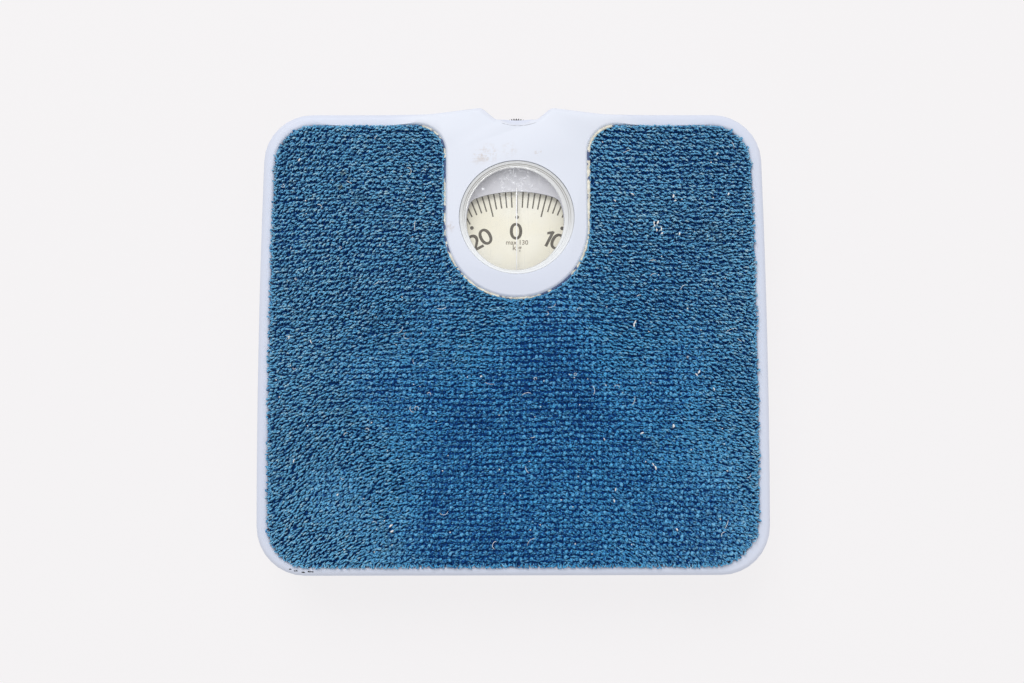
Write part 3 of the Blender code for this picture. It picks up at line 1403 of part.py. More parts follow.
def pinion():
    """Small pinion whose teeth mesh with the rack."""
    tip, middle, root = tooth_half_widths()
    tip_radius = PITCH_RADIUS + ADDENDUM_SHARE * GEAR_MODULE
    root_radius = PITCH_RADIUS - DEDENDUM_SHARE * GEAR_MODULE
    outline = []
    for tooth in range(PINION_TEETH):
        mid = math.tau * (tooth + 0.5) / PINION_TEETH
        for radius, half in (
            (root_radius, -root), (PITCH_RADIUS, -middle), (tip_radius, -tip),
            (tip_radius, tip), (PITCH_RADIUS, middle), (root_radius, root),
        ):
            angle = mid + half / radius
            x = AXIS_X + radius * math.cos(angle)
            outline.append((x, DIAL_Y + radius * math.sin(angle)))
    body = prism(outline, RACK_BOTTOM, RACK_TOP)
    low = (AXIS_X, DIAL_Y, RACK_BOTTOM - OVERRUN)
    bore = rod(low, (AXIS_X, DIAL_Y, RACK_TOP + OVERRUN), SPINDLE_RADIUS + FIT / 2)
    make_object("pinion", cut(body, bore), BRASS, (AXIS_X, DIAL_Y, RACK_BOTTOM))


def rack_outline():
    """Plan of the toothed bar, with its teeth towards the pinion."""
    tip, middle, root = tooth_half_widths()
    pitch_x = AXIS_X + PITCH_RADIUS
    tip_x = pitch_x - ADDENDUM_SHARE * GEAR_MODULE
    root_x = pitch_x + DEDENDUM_SHARE * GEAR_MODULE
    back_x = pitch_x + RACK_BACK
    before = math.ceil((RACK_TRAVEL + PITCH_RADIUS) / TOOTH_PITCH)
    after = math.ceil(PITCH_RADIUS / TOOTH_PITCH)
    front = DIAL_Y - (before + 1) * TOOTH_PITCH - RACK_FRONT_SPARE
    outline = [(root_x, front)]
    for tooth in range(-before, after + 1):
        mid = DIAL_Y + tooth * TOOTH_PITCH
        outline += [
            (root_x, mid - root), (pitch_x, mid - middle), (tip_x, mid - tip),
            (tip_x, mid + tip), (pitch_x, mid + middle), (root_x, mid + root),
        ]
    rear = RACK_EYE_Y + RACK_EYE_HALF
    return outline + [(root_x, rear), (back_x, rear), (back_x, front)]


def rack():
    """Toothed bar with the slotted eye for the crank's pin and the horn for its spring."""
    bar = prism(rack_outline(), RACK_BOTTOM, RACK_TOP)
    back_x = AXIS_X + PITCH_RADIUS + RACK_BACK
    eye = box(
        (back_x - RACK_EYE_THICKNESS, RACK_EYE_Y - RACK_EYE_HALF, RACK_BOTTOM),
        (back_x, RACK_EYE_Y + RACK_EYE_HALF, RACK_EYE_TOP),
    )
    clear_bar = box(
        (AXIS_X, RACK_EYE_Y - RACK_EYE_HALF, RACK_BOTTOM - OVERRUN),
        (back_x - RACK_EYE_THICKNESS, RACK_EYE_Y + RACK_EYE_HALF + OVERRUN, RACK_EYE_TOP),
    )
    slot = box(
        (AXIS_X, RACK_EYE_Y - RACK_SLOT_HALF, RACK_SLOT_LOW),
        (back_x + OVERRUN, RACK_EYE_Y + RACK_SLOT_HALF, RACK_SLOT_HIGH),
    )
    horn_y = SPRING_Y - RACK_HORN_FROM_SPRING
    horn = box(
        (AXIS_X - RACK_SPRING_X - HORN_HALF, horn_y, RACK_BOTTOM),
        (back_x, horn_y + 2 * HORN_HALF, RACK_BOTTOM + HORN_THICKNESS),
    )
    horn_ear = box(
        (AXIS_X - RACK_SPRING_X - HORN_HALF, horn_y, RACK_BOTTOM),
        (AXIS_X - RACK_SPRING_X + HORN_HALF, horn_y + HORN_THICKNESS, RACK_TOP + HORN_HALF),
    )
    hole = rod(
        (AXIS_X - RACK_SPRING_X, horn_y - OVERRUN, RACK_SPRING_Z),
        (AXIS_X - RACK_SPRING_X, horn_y + OVERRUN / 2, RACK_SPRING_Z), RACK_SPRING_WIRE + FIT,
    )
    body = cut(join(cut(bar, clear_bar), eye, horn, horn_ear), slot, hole)
    make_object("rack", body, BRASS, (AXIS_X + PITCH_RADIUS, RACK_EYE_Y, RACK_BOTTOM))


def spring_post():
    """Angle tab on the bridge that holds the rack spring's fixed end."""
    x = AXIS_X - RACK_SPRING_X
    low = BRIDGE_TOP + FIT
    rear = BRIDGE_REAR_Y - SPRING_POST_REACH
    outline = [
        (rear - 3 * HORN_HALF, low), (rear, low), (rear, RACK_TOP + HORN_HALF),
        (rear - HORN_THICKNESS, RACK_TOP + HORN_HALF), (rear - HORN_THICKNESS, low + HORN_THICKNESS),
        (rear - 3 * HORN_HALF, low + HORN_THICKNESS),
    ]
    tab = prism(outline, x - HORN_HALF, x + HORN_HALF, "X")
    hole = rod(
        (x, rear - OVERRUN / 2, RACK_SPRING_Z), (x, rear + OVERRUN, RACK_SPRING_Z),
        RACK_SPRING_WIRE + FIT,
    )
    make_object("spring_post", cut(tab, hole), ZINC)


def rack_spring():
    """Thin spring that draws the rack, and with it the crank, towards the rear."""
    x = AXIS_X - RACK_SPRING_X
    horn_y = SPRING_Y - RACK_HORN_FROM_SPRING
    post_y = BRIDGE_REAR_Y - SPRING_POST_REACH
    length = RACK_SPRING_PITCH * RACK_SPRING_TURNS
    start = (horn_y + post_y - length) / 2
    bent = HORN_HALF
    front = horn_y - RACK_SPRING_WIRE - FIT
    rear = post_y + RACK_SPRING_WIRE + FIT
    points = [(x, front, RACK_SPRING_Z + bent), (x, front, RACK_SPRING_Z),
              (x, start - RACK_SPRING_PITCH, RACK_SPRING_Z)]
    coil = coil_points(
        (x, RACK_SPRING_Z), start, RACK_SPRING_TURNS, RACK_SPRING_PITCH, RACK_SPRING_RADIUS,
        THIN_COIL_POINTS,
    )
    points += [(px, py, pz) for px, pz, py in coil]
    points += [(x, start + length + RACK_SPRING_PITCH, RACK_SPRING_Z), (x, rear, RACK_SPRING_Z),
               (x, rear, RACK_SPRING_Z + bent)]
    gap = least_gap(points, RACK_SPRING_WIRE, THIN_COIL_POINTS - 2)
    print(f"rack_spring: least gap to itself {gap * 1000:.2f} mm")
    coil_object("rack_spring", points, RACK_SPRING_WIRE, SPRING_STEEL)


def bearing_bush():
    """Flanged lower bearing of the dial's spindle."""
    flange_top = BRIDGE_BOTTOM - FIT
    bore = SPINDLE_RADIUS + FIT
    profile = [
        (bore, BUSH_BOTTOM), (BUSH_RADIUS, BUSH_BOTTOM),
        (BUSH_RADIUS, flange_top - BUSH_FLANGE_HEIGHT),
        (BUSH_FLANGE_RADIUS, flange_top - BUSH_FLANGE_HEIGHT),
        (BUSH_FLANGE_RADIUS, flange_top), (BUSH_RADIUS, flange_top),
        (BUSH_RADIUS, BRIDGE_TOP), (bore, BRIDGE_TOP),
    ]
    body = turned(profile, SMALL_ROUND_STEPS * 2, (AXIS_X, DIAL_Y))
    make_object("bearing_bush", body, BRASS)


def bearing_saddle():
    """Saddle over the pinion, which holds the spindle's top and keeps the rack in mesh."""
    low = BRIDGE_TOP + FIT
    right = AXIS_X + PITCH_RADIUS + RACK_BACK + FIT
    left = AXIS_X - SADDLE_LEFT
    sheet = SADDLE_SHEET
    outline = [
        (left - sheet - SADDLE_FOOT, low), (left, low), (left, SADDLE_TOP - sheet),
        (right, SADDLE_TOP - sheet), (right, low), (right + sheet + SADDLE_FOOT, low),
        (right + sheet + SADDLE_FOOT, low + sheet), (right + sheet, low + sheet),
        (right + sheet, SADDLE_TOP), (left - sheet, SADDLE_TOP), (left - sheet, low + sheet),
        (left - sheet - SADDLE_FOOT, low + sheet),
    ]
    body = prism(outline, DIAL_Y - SADDLE_DEPTH / 2, DIAL_Y + SADDLE_DEPTH / 2, "Y")
    bore = rod(
        (AXIS_X, DIAL_Y, SADDLE_TOP - OVERRUN), (AXIS_X, DIAL_Y, SADDLE_TOP + OVERRUN),
        SPINDLE_RADIUS + FIT,
    )
    make_object("bearing_saddle", cut(body, bore), ZINC)


def spindle():
    """Vertical spindle of pinion and dial."""
    top = DIAL_BOTTOM + DIAL_THICKNESS + DIAL_NOSE_HEIGHT / 2
    body = rod((AXIS_X, DIAL_Y, BUSH_BOTTOM + FIT), (AXIS_X, DIAL_Y, top), SPINDLE_RADIUS)
    make_object("spindle", body, ZINC, (AXIS_X, DIAL_Y, BUSH_BOTTOM))


def dial_hub():
    """Hub that carries the dial disc on the spindle."""
    seat = DIAL_BOTTOM - FIT
    bore = SPINDLE_RADIUS + FIT / 2
    nose = DIAL_NOSE_RADIUS - FIT
    nose_top = DIAL_BOTTOM + DIAL_THICKNESS + DIAL_NOSE_HEIGHT / 2
    profile = [
        (bore, DIAL_HUB_BOTTOM), (DIAL_HUB_RADIUS, DIAL_HUB_BOTTOM),
        (DIAL_HUB_RADIUS, seat - DIAL_HUB_FLANGE_HEIGHT),
        (DIAL_HUB_FLANGE, seat - DIAL_HUB_FLANGE_HEIGHT),
        (DIAL_HUB_FLANGE, seat), (nose, seat), (nose, nose_top), (bore, nose_top),
    ]
    body = turned(profile, SMALL_ROUND_STEPS * 2, (AXIS_X, DIAL_Y))
    make_object("dial_hub", body, ZINC, (AXIS_X, DIAL_Y, DIAL_HUB_BOTTOM))


def dial_disc():
    """Thin round dial."""
    top = DIAL_BOTTOM + DIAL_THICKNESS
    profile = [
        (DIAL_NOSE_RADIUS, DIAL_BOTTOM), (DIAL_RADIUS, DIAL_BOTTOM),
        (DIAL_RADIUS, top), (DIAL_NOSE_RADIUS, top),
    ]
    body = turned(profile, ROUND_STEPS * 2, (AXIS_X, DIAL_Y))
    make_object("dial_disc", body, CARD_CREAM, (AXIS_X, DIAL_Y, DIAL_BOTTOM))


# Retaining springs
def keeper_tab(side, high):
    """Bent tab with a hole, under the cover when high, on the pan when low."""
    x = side * KEEPER_X
    far = MIDDLE_Y - KEEPER_FLANGE - KEEPER_TAB_HALF
    wall = MIDDLE_Y - KEEPER_TAB_HALF
    reach = MIDDLE_Y + KEEPER_TAB_HALF
    sheet = BRACKET_SHEET
    if high:
        top = COVER_UNDER - FIT
        outline = [
            (far, top), (wall, top), (wall, KEEPER_TAB_TOP), (reach, KEEPER_TAB_TOP),
            (reach, KEEPER_TAB_TOP - sheet), (wall - sheet, KEEPER_TAB_TOP - sheet),
            (wall - sheet, top - sheet), (far, top - sheet),
        ]
    else:
        outline = [
            (far, FLANGE_BOTTOM), (wall, FLANGE_BOTTOM), (wall, KEEPER_TAB_BOTTOM - sheet),
            (reach, KEEPER_TAB_BOTTOM - sheet), (reach, KEEPER_TAB_BOTTOM),
            (wall - sheet, KEEPER_TAB_BOTTOM), (wall - sheet, FLANGE_TOP), (far, FLANGE_TOP),
        ]
    tab = prism(outline, x - KEEPER_TAB_HALF, x + KEEPER_TAB_HALF, "X")
    level = KEEPER_TAB_TOP if high else KEEPER_TAB_BOTTOM
    hole = rod(
        (x, MIDDLE_Y, level - OVERRUN / 2), (x, MIDDLE_Y, level + OVERRUN / 2), KEEPER_HOLE
    )
    tab = cut(tab, hole)
    if not high:
        label = "right" if side > 0 else "left"
        tab = cut(tab, rivet_bore(rivet_places()["pan_tab_" + label]))
    return tab


def keepers():
    """Tabs and springs that hold the cover down on the lever work."""
    for side, label in ((-1, "left"), (1, "right")):
        make_object("cover_tab_" + label, keeper_tab(side, True), ZINC)
        make_object("pan_tab_" + label, keeper_tab(side, False), ZINC)
        x = side * KEEPER_X
        sheet = BRACKET_SHEET
        low = KEEPER_TAB_BOTTOM - sheet - FIT - KEEPER_WIRE
        high = KEEPER_TAB_TOP + FIT + KEEPER_WIRE
        length = KEEPER_PITCH * KEEPER_TURNS
        start = (low + high - length) / 2
        bent = KEEPER_SPRING_RADIUS
        points = [(x, MIDDLE_Y + bent, low), (x, MIDDLE_Y, low),
                  (x, MIDDLE_Y, start - KEEPER_PITCH)]
        points += coil_points(
            (x, MIDDLE_Y), start, KEEPER_TURNS, KEEPER_PITCH, KEEPER_SPRING_RADIUS,
            THIN_COIL_POINTS,
        )
        points += [(x, MIDDLE_Y, start + length + KEEPER_PITCH), (x, MIDDLE_Y, high),
                   (x, MIDDLE_Y + bent, high)]
        gap = least_gap(points, KEEPER_WIRE, THIN_COIL_POINTS - 2)
        print(f"keeper_spring_{label}: least gap to itself {gap * 1000:.2f} mm")
        coil_object("keeper_spring_" + label, points, KEEPER_WIRE, SPRING_STEEL)


def build_scale():
    """Every piece of the scale."""
    for item in list(bpy.data.objects):
        bpy.data.objects.remove(item, do_unlink=True)
    top_cover()
    mat()
    lens()
    dial_mask()
    pointer_line()
    bearers()
    base_pan()
    feet()
    pan_rivets()
    fulcrum_posts()
    long_levers()
    tie_bar()
    stirrups()
    short_levers()
    main_spring()
    spring_hanger()
    adjuster_screw()
    zero_wheel()
    spring_bracket()
    bridge()
    bridge_screws()
    crank_pivot_pin()
    bell_crank()
    rack()
    spring_post()
    rack_spring()
    bearing_bush()
    bearing_saddle()
    pinion()
    spindle()
    dial_hub()
    dial_disc()
    keepers()


build_scale()
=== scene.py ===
"""Looks of a mechanical bathroom scale: enamelled cover, loop-pile mat, dial window,
printed dial and plated lever work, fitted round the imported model. Metres, +Z up,
+Y towards the dial end.
"""

import json
import math

import bmesh
import bpy
import numpy as np
from bpy.props import FloatProperty, FloatVectorProperty, IntProperty, PointerProperty
from mathutils import Matrix, Vector, noise


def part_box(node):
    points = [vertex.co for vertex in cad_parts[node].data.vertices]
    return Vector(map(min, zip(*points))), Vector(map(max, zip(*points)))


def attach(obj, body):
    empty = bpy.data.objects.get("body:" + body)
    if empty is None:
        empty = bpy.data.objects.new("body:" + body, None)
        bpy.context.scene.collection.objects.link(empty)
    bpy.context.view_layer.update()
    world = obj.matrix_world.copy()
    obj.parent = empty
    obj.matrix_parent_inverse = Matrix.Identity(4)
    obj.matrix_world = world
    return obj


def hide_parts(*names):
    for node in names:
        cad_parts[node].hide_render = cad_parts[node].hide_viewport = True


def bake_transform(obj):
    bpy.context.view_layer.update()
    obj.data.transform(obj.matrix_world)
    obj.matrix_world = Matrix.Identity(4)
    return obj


bl_info = {
    "name": "Mechanical bathroom scale",
    "version": (1, 0, 0),
    "blender": (4, 5, 0),
    "location": "3D View > Sidebar > Scale",
    "description": "Builds the cover, mat, dial window and finishes of a bathroom scale",
    "category": "Object",
}

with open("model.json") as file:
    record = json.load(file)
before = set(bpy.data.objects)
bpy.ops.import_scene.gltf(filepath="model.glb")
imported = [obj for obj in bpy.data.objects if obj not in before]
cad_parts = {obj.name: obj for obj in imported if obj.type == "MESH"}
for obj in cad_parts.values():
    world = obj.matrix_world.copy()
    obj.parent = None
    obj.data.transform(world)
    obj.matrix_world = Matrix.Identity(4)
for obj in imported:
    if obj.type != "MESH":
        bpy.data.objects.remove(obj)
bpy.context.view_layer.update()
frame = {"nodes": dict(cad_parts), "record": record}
COVER_LOW, COVER_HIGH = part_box("top_cover")
LENS_LOW, LENS_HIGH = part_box("lens")
DISC_LOW, DISC_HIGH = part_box("dial_disc")
MAT_LOW, MAT_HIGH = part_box("mat")
POINTER_LOW, POINTER_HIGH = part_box("pointer_line")
MASK_LOW, MASK_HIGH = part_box("dial_mask")
AXIS_X = (DISC_LOW.x + DISC_HIGH.x) / 2
DIAL_Y = (DISC_LOW.y + DISC_HIGH.y) / 2
LENS_Y = (LENS_LOW.y + LENS_HIGH.y) / 2
TINY = 1e-6
# Steps round the window and the mask, and round a turn of the main spring and of the rack spring
LENS_STEPS = 128
SPRING_STEPS = 28
THIN_SPRING_STEPS = 20

# The clear part of the window: its middle from the window's own middle, its half width and height
OPEN_X = -0.0008
OPEN_Y = -0.0009
OPEN_WIDE = 0.0270
OPEN_TALL = 0.0285
# Radii of the two fine lines on the window's rim
RIM_LINES = (0.0286, 0.0297)

# Where the painted shade on the rim's enamel goes over into the housing's plain enamel: from and to,
# upwards and to the rear
HOUSING_Z = (0.0497, 0.0533)
HOUSING_Y = (0.010, 0.085)
# The rim's painted shade, as factors of the enamel's colour
RIM_PAINTED_SHADE = (0.885, 0.895, 0.935)

# The trodden part of the mat: its middle and half sizes, for the yarn's colour and for its loops
FADED = (0.020, -0.062, 0.112, 0.100)
TRODDEN = (0.016, -0.080, 0.104, 0.098)

# Stretches of the pile from left to right, each a piece: label, left and right bound
PILE_STRIPS = (
    ("far_left", -1.0, -0.092), ("left", -0.092, -0.048), ("mid_left", -0.048, -0.002),
    ("mid_right", -0.002, 0.044), ("right", 0.044, 0.088), ("far_right", 0.088, 1.0),
)
# Half the width over which rows of strands are set, and how far they keep from the field's edge
PILE_HALF = 0.142
PILE_MARGIN = 0.0010
# Width of the band in which a strand counts as standing at the front, the rear or the housing
EDGE_BAND = 0.004
# Heights of the three rows of strands in a row of loops, as shares of the rise
ROW_HEIGHTS = (1.0, 0.99, 0.54)
# Stations of a strand and of a knob: place along it, height and thickness, as shares
STRAND = (
    (-1.00, 0.30, 0.80), (-0.78, 0.80, 0.98), (0.00, 1.00, 1.08), (0.78, 0.84, 0.98),
    (1.00, 0.34, 0.80),
)
KNOB = (
    (-0.80, 0.40, 0.70), (-0.75, 0.82, 1.00), (0.00, 1.00, 1.15), (0.75, 0.85, 1.02),
    (0.85, 0.40, 0.70),
)
# Forms of both: length and height as shares, and how far they bow sideways in yarn radii
STRAND_FORMS = (
    (0.80, 1.0, 0.4), (1.0, 1.0, -0.5), (1.0, 0.94, 0.7), (1.25, 0.97, 0.3),
    (0.90, 0.97, -0.6), (1.12, 1.0, 0.0),
)
KNOB_FORMS = ((0.30, 1.0, 0.2), (0.42, 0.96, -0.2), (0.60, 1.0, 0.1))

# Kinds of lint: least and greatest length, least and greatest radius, and points along it
LINT_KINDS = {
    "hair": (0.0030, 0.0080, 0.00009, 0.00014, 7),
    "flake": (0.0016, 0.0032, 0.00030, 0.00050, 4),
    "speck": (0.0006, 0.0011, 0.00026, 0.00044, 3),
}
LINT_COUNT = 150
# Outline of the bold figure one, in heights of a numeral
FIGURE_ONE = (
    (0.13, -0.50), (0.13, 0.50), (0.00, 0.50), (-0.26, 0.30), (-0.19, 0.17), (-0.04, 0.27),
    (-0.04, -0.50),
)

# Olive spots on the mat: middle and radius
OLIVE_SPOTS = (
    ((-0.0935, 0.0906, 0.0530), 0.0026), ((-0.1183, 0.0945, 0.0530), 0.0022),
    ((-0.0950, 0.0822, 0.0530), 0.0024), ((-0.0905, 0.0870, 0.0530), 0.0018),
)
# The painted shadow line along the pressed crease before the notch: middle and radius of its arc
CREASE = (0.0028, 0.1435, 0.0530)
CREASE_RADIUS = 0.0270
# Where it fades out: across its line, sideways from its middle, and towards the rear
CREASE_WIDTH = (0.00008, 0.00030)
CREASE_HALF = (0.0080, 0.0112)
CREASE_REAR = (0.120, 0.122)
# Tufts of white lint: place and number of flakes
TUFTS = (
    (0.0659, 0.0792, 1), (0.0883, 0.0736, 2), (0.0777, 0.0625, 4), (0.0809, 0.0569, 3),
    (0.0570, 0.0747, 1), (0.1174, 0.0747, 1), (0.1008, -0.0215, 2), (0.0758, -0.0714, 2),
    (-0.0663, -0.1034, 2), (0.0874, -0.0500, 2), (0.0696, -0.0532, 1), (0.0660, 0.0041, 2),
    (0.0537, -0.0856, 2), (-0.1100, -0.0023, 1),
)
# Chips in the enamel at the front left: middle and radius
CHIPS = (
    ((-0.1192, -0.1248, 0.0498), 0.0010), ((-0.1163, -0.1257, 0.0498), 0.0016),
    ((-0.1123, -0.1265, 0.0497), 0.0012), ((-0.1089, -0.1261, 0.0498), 0.0013),
    ((-0.1074, -0.1262, 0.0498), 0.0010),
)
# Stains on the housing: middle, radius and strength
STAINS = (
    ((-0.0135, 0.1005, 0.0535), 0.0075, 0.36), ((-0.0195, 0.0990, 0.0535), 0.0060, 0.26),
    ((0.0138, 0.1017, 0.0535), 0.0026, 0.65), ((-0.0020, 0.1030, 0.0535), 0.0060, 0.18),
    ((-0.0345, 0.0600, 0.0533), 0.0040, 0.35),
)


# Sizes and colours that a user would change
def size(label, text, default):
    """A length property."""
    return FloatProperty(name=label, description=text, default=default, unit="LENGTH", precision=5)


def share(label, text, default):
    """A plain number property."""
    return FloatProperty(name=label, description=text, default=default, precision=3)


def tint(label, text, default):
    """A colour property."""
    return FloatVectorProperty(
        name=label, description=text, default=default, size=3, subtype="COLOR", min=0.0, max=1.0
    )


class ScaleCoverSizes(bpy.types.PropertyGroup):
    """Sizes and enamel of the pressed cover."""

    width: size("Width", "Across the bowed sides", COVER_HIGH.x - COVER_LOW.x)
    rim_top: size("Rim height", "Top of the plain rim above the floor", 0.0500)
    sheet: size("Sheet", "Thickness of the pressed steel", 0.0011)
    draft: size("Draft", "Inward lean of the skirt", 0.0006)
    side_bow: size("Side bow", "How far the sides bow outwards", 0.0023)
    corner: size("Corner radius", "Radius of the four corners", 0.0274)
    fillet: size("Rim fillet", "Rounding of the outer upper edge", 0.0036)
    housing_full: size("Housing top", "Half width at which the housing has its full rise", 0.0440)
    housing_end: size("Housing end", "Half width at which the housing meets the rim", 0.0800)
    field_depth: size("Field depth", "How deep the mat's field is pressed", 0.0020)
    rim_width: size("Side rim", "Width of the rim beside the mat", 0.0074)
    rear_rim: size("Rear rim", "Width of the rim behind the mat", 0.0079)
    front_rim: size("Front rim", "Width of the rim before the mat", 0.0058)
    field_corner: size("Field corner", "Corner radius of the mat's field", 0.0214)
    worn_corner: size("Worn corner", "Corner radius of the field at the front right", 0.0262)
    field_edge: size("Field edge", "Width of the rounded edge of the field", 0.0020)
    tongue_half: size("Tongue half width", "Half width of the dial housing", 0.0395)
    tongue_length: size("Tongue length", "Reach of the dial housing into the mat", 0.0965)
    tongue_flare: size("Tongue flare", "Radius where the housing meets the rear rim", 0.0160)
    bulge: size("Rear bulge", "Height of the two low bulges", 0.0038)
    bulge_foot: size("Bulge foot", "Half spacing of the bulges' feet", 0.0487)
    bulge_peak: size("Bulge peak", "Half spacing of the bulges' peaks", 0.0192)
    notch_half: size("Notch half width", "Half width of the finger notch", 0.0112)
    notch_depth: size("Notch depth", "Depth of the finger notch", 0.0030)
    scoop: size("Scoop radius", "Radius of the finger scoop", 0.0183)
    lens_hole: size("Window radius", "Radius of the hole for the window", 0.0317)
    wheel_half: size("Wheel window", "Half width of the cut-out over the wheel", 0.0146)
    enamel: tint("Enamel", "Cool white of the enamel", (0.765, 0.800, 0.895))
    # The chip colour also paints the shadow line along the crease
    chip: tint("Chip", "Dark steel where the enamel is gone", (0.035, 0.033, 0.035))
    stain: tint("Stain", "Old rust-brown stain", (0.42, 0.27, 0.13))


class ScaleMatSizes(bpy.types.PropertyGroup):
    """Sizes and colours of the loop-pile mat."""

    gap: size("Gap", "From the field's edge to the backing", 0.0006)
    backing: size("Backing", "Thickness of the backing above the field", 0.0022)
    row_pitch: size("Row pitch", "Distance between rows of strands, three to a row of loops", 0.00109)
    loop_pitch: size("Strand pitch", "Distance between strands in a row", 0.00215)
    knob_pitch: size("Knob pitch", "Distance between the worn knobs in the middle", 0.0030)
    fringe_pitch: size("Fringe pitch", "Distance between strands along the edge", 0.00110)
    yarn: size("Yarn", "Radius of one strand", 0.00040)
    knob: size("Knob", "Radius of a worn knob", 0.00082)
    reach: size("Loop reach", "Half length of a loop's crown", 0.00104)
    rise: size("Rise", "Height of a loop's crown above the field", 0.0052)
    # Worn yarn is also the lighter colour of the crowns, set against the painted shade low in the
    # pile
    light: tint("Worn yarn", "Faded crowns of the loops", (0.210, 0.640, 1.000))
    # Chafed yarn also paints highlights on the highest crowns
    pale: tint("Chafed yarn", "Rubbed and dusty crowns", (0.60, 0.86, 0.98))
    # Deep yarn is also the painted shade low in the pile and, darkened further, on the backing
    # between the loops
    dark: tint("Deep yarn", "Dye deep in the pile", (0.002, 0.078, 0.330))
    grime: tint("Grime", "Grey-green grime on the crowns", (0.13, 0.20, 0.22))
    olive: tint("Olive spots", "Olive stains in the yarn", (0.30, 0.27, 0.09))
    lint: tint("Lint", "White lint and short fibres", (0.97, 0.98, 0.98))
    glue: tint("Glue", "Yellowed glue along the housing", (0.88, 0.84, 0.72))


class ScaleDialSizes(bpy.types.PropertyGroup):
    """Sizes and colours of the dial and its window."""

    capacity: IntProperty(name="Full turn", description="Kilograms for one turn", default=130)
    tick_outer: size("Tick circle", "Radius of the ticks' outer ends", 0.0687)
    tick_short: size("Short tick", "Length of a 1 kg tick", 0.0090)
    tick_middle: size("Middle tick", "Length of a 5 kg tick", 0.0127)
    tick_long: size("Long tick", "Length of a 10 kg tick", 0.0123)
    tick_width: size("Tick width", "Width of a tick", 0.00076)
    dot_radius: size("Dot circle", "Radius on which the dots lie", 0.0542)
    dot: size("Dot", "Radius of a dot", 0.00105)
    numeral: size("Numeral", "Height of the numerals", 0.0095)
    numeral_radius: size("Numeral circle", "Radius of the numerals' middle", 0.0457)
    zero_turn: FloatProperty(
        name="Zero turn", description="How far the zero stands from the hairline",
        default=math.radians(-0.3), subtype="ANGLE",
    )
    print_height: size("Print", "Thickness of the printing ink", 0.00005)
    card: tint("Card", "Cream of the dial", (0.95, 0.935, 0.85))
    ink: tint("Ink", "Warm black of the printing", (0.120, 0.108, 0.088))
    small_ink: tint("Small ink", "Paler ink of the small words", (0.24, 0.20, 0.15))
    mask: tint("Mask", "Grey of the mask", (0.66, 0.66, 0.71))
    line: tint("Line", "White of the hairline", (0.95, 0.95, 0.96))
    rim: tint("Window rim", "Clear plastic over the grey mask", (0.75, 0.76, 0.77))
    rim_line: tint("Rim lines", "Dust in the steps of the window's rim", (0.22, 0.20, 0.16))


class ScaleMetalSizes(bpy.types.PropertyGroup):
    """Colours of the metal, rubber and moulded pieces, and sizes of the wheel and the springs."""

    zinc: tint("Zinc", "Plated steel", (0.56, 0.56, 0.55))
    wire: tint("Spring wire", "Oiled spring steel", (0.33, 0.32, 0.31))
    brass: tint("Brass", "Turned brass", (0.68, 0.48, 0.20))
    rubber: tint("Rubber", "Black rubber", (0.025, 0.025, 0.026))
    plastic: tint("Plastic", "Black moulded plastic", (0.018, 0.018, 0.02))
    teeth: IntProperty(name="Teeth", description="Knurls round the zero wheel", default=58)
    tooth_depth: size("Tooth depth", "Depth of the knurls", 0.0009)
    main_wire: size("Main wire", "Wire radius of the main spring", 0.00125)
    main_turns: IntProperty(
        name="Main turns", description="Turns of the main spring", default=7, min=1
    )
    rack_wire: size("Rack wire", "Wire radius of the rack spring", 0.0003)
    rack_coil: size("Rack coil", "Coil radius of the rack spring", 0.0018)
    rack_pitch: size("Rack pitch", "Distance between the rack spring's turns", 0.0021)
    rack_turns: IntProperty(
        name="Rack turns", description="Turns of the rack spring", default=11, min=1
    )


class ScaleStageSettings(bpy.types.PropertyGroup):
    """Floor, lights and camera."""

    place: FloatVectorProperty(
        name="Camera place", description="Where the camera stands", size=3, precision=5,
        default=(-0.00246, -0.05643, 0.61130), subtype="TRANSLATION",
    )
    turn: FloatVectorProperty(
        name="Camera turn", description="How the camera leans and rolls", size=3, precision=5,
        default=(0.09248, -0.00377, -0.00146), subtype="EULER",
    )
    lens: share("Focal length", "Focal length in millimetres on a 36 mm sensor", 36.38)
    floor: tint("Floor", "Pale floor and backdrop", (0.913, 0.896, 0.905))
    sky: share("Sky", "Strength of the even light", 0.58)
    lamp: share("Lamp", "Power of the main soft lamp", 3.4)
    fill: share("Fill", "Power of the second lamp", 0.42)


# Shader expressions
class Value:
    """A number or colour in a shader, whose arithmetic adds Math nodes."""

    def __init__(self, tree, socket):
        self.tree = tree
        self.socket = socket

    def math(self, operation, *values):
        """The result of a Math node."""
        node = self.tree.nodes.new("ShaderNodeMath")
        node.operation = operation
        for socket, value in zip(node.inputs, values):
            plug(self.tree, socket, value)
        return Value(self.tree, node.outputs[0])

    def __add__(self, other):
        return self.math("ADD", self, other)

    def __radd__(self, other):
        return self.math("ADD", other, self)

    def __sub__(self, other):
        return self.math("SUBTRACT", self, other)

    def __rsub__(self, other):
        return self.math("SUBTRACT", other, self)

    def __mul__(self, other):
        return self.math("MULTIPLY", self, other)

    def __rmul__(self, other):
        return self.math("MULTIPLY", other, self)

    def __truediv__(self, other):
        return self.math("DIVIDE", self, other)

    def __pow__(self, other):
        return self.math("POWER", self, other)

    def __abs__(self):
        return self.math("ABSOLUTE", self)

    def smaller(self, other):
        """The smaller of two numbers."""
        return self.math("MINIMUM", self, other)

    def larger(self, other):
        """The larger of two numbers."""
        return self.math("MAXIMUM", self, other)

    def step(self, low, high):
        """0 below low, 1 above high, smooth between them."""
        node = self.tree.nodes.new("ShaderNodeMapRange")
        node.interpolation_type = "SMOOTHSTEP"
        plug(self.tree, node.inputs["Value"], self)
        node.inputs["From Min"].default_value = low
        node.inputs["From Max"].default_value = high
        return Value(self.tree, node.outputs["Result"])


def plug(tree, socket, value):
    """Links a Value to a socket, or sets the socket's own value."""
    if isinstance(value, Value):
        tree.links.new(value.socket, socket)
    elif socket.type == "RGBA":
        socket.default_value = (*value, 1.0)
    else:
        socket.default_value = value


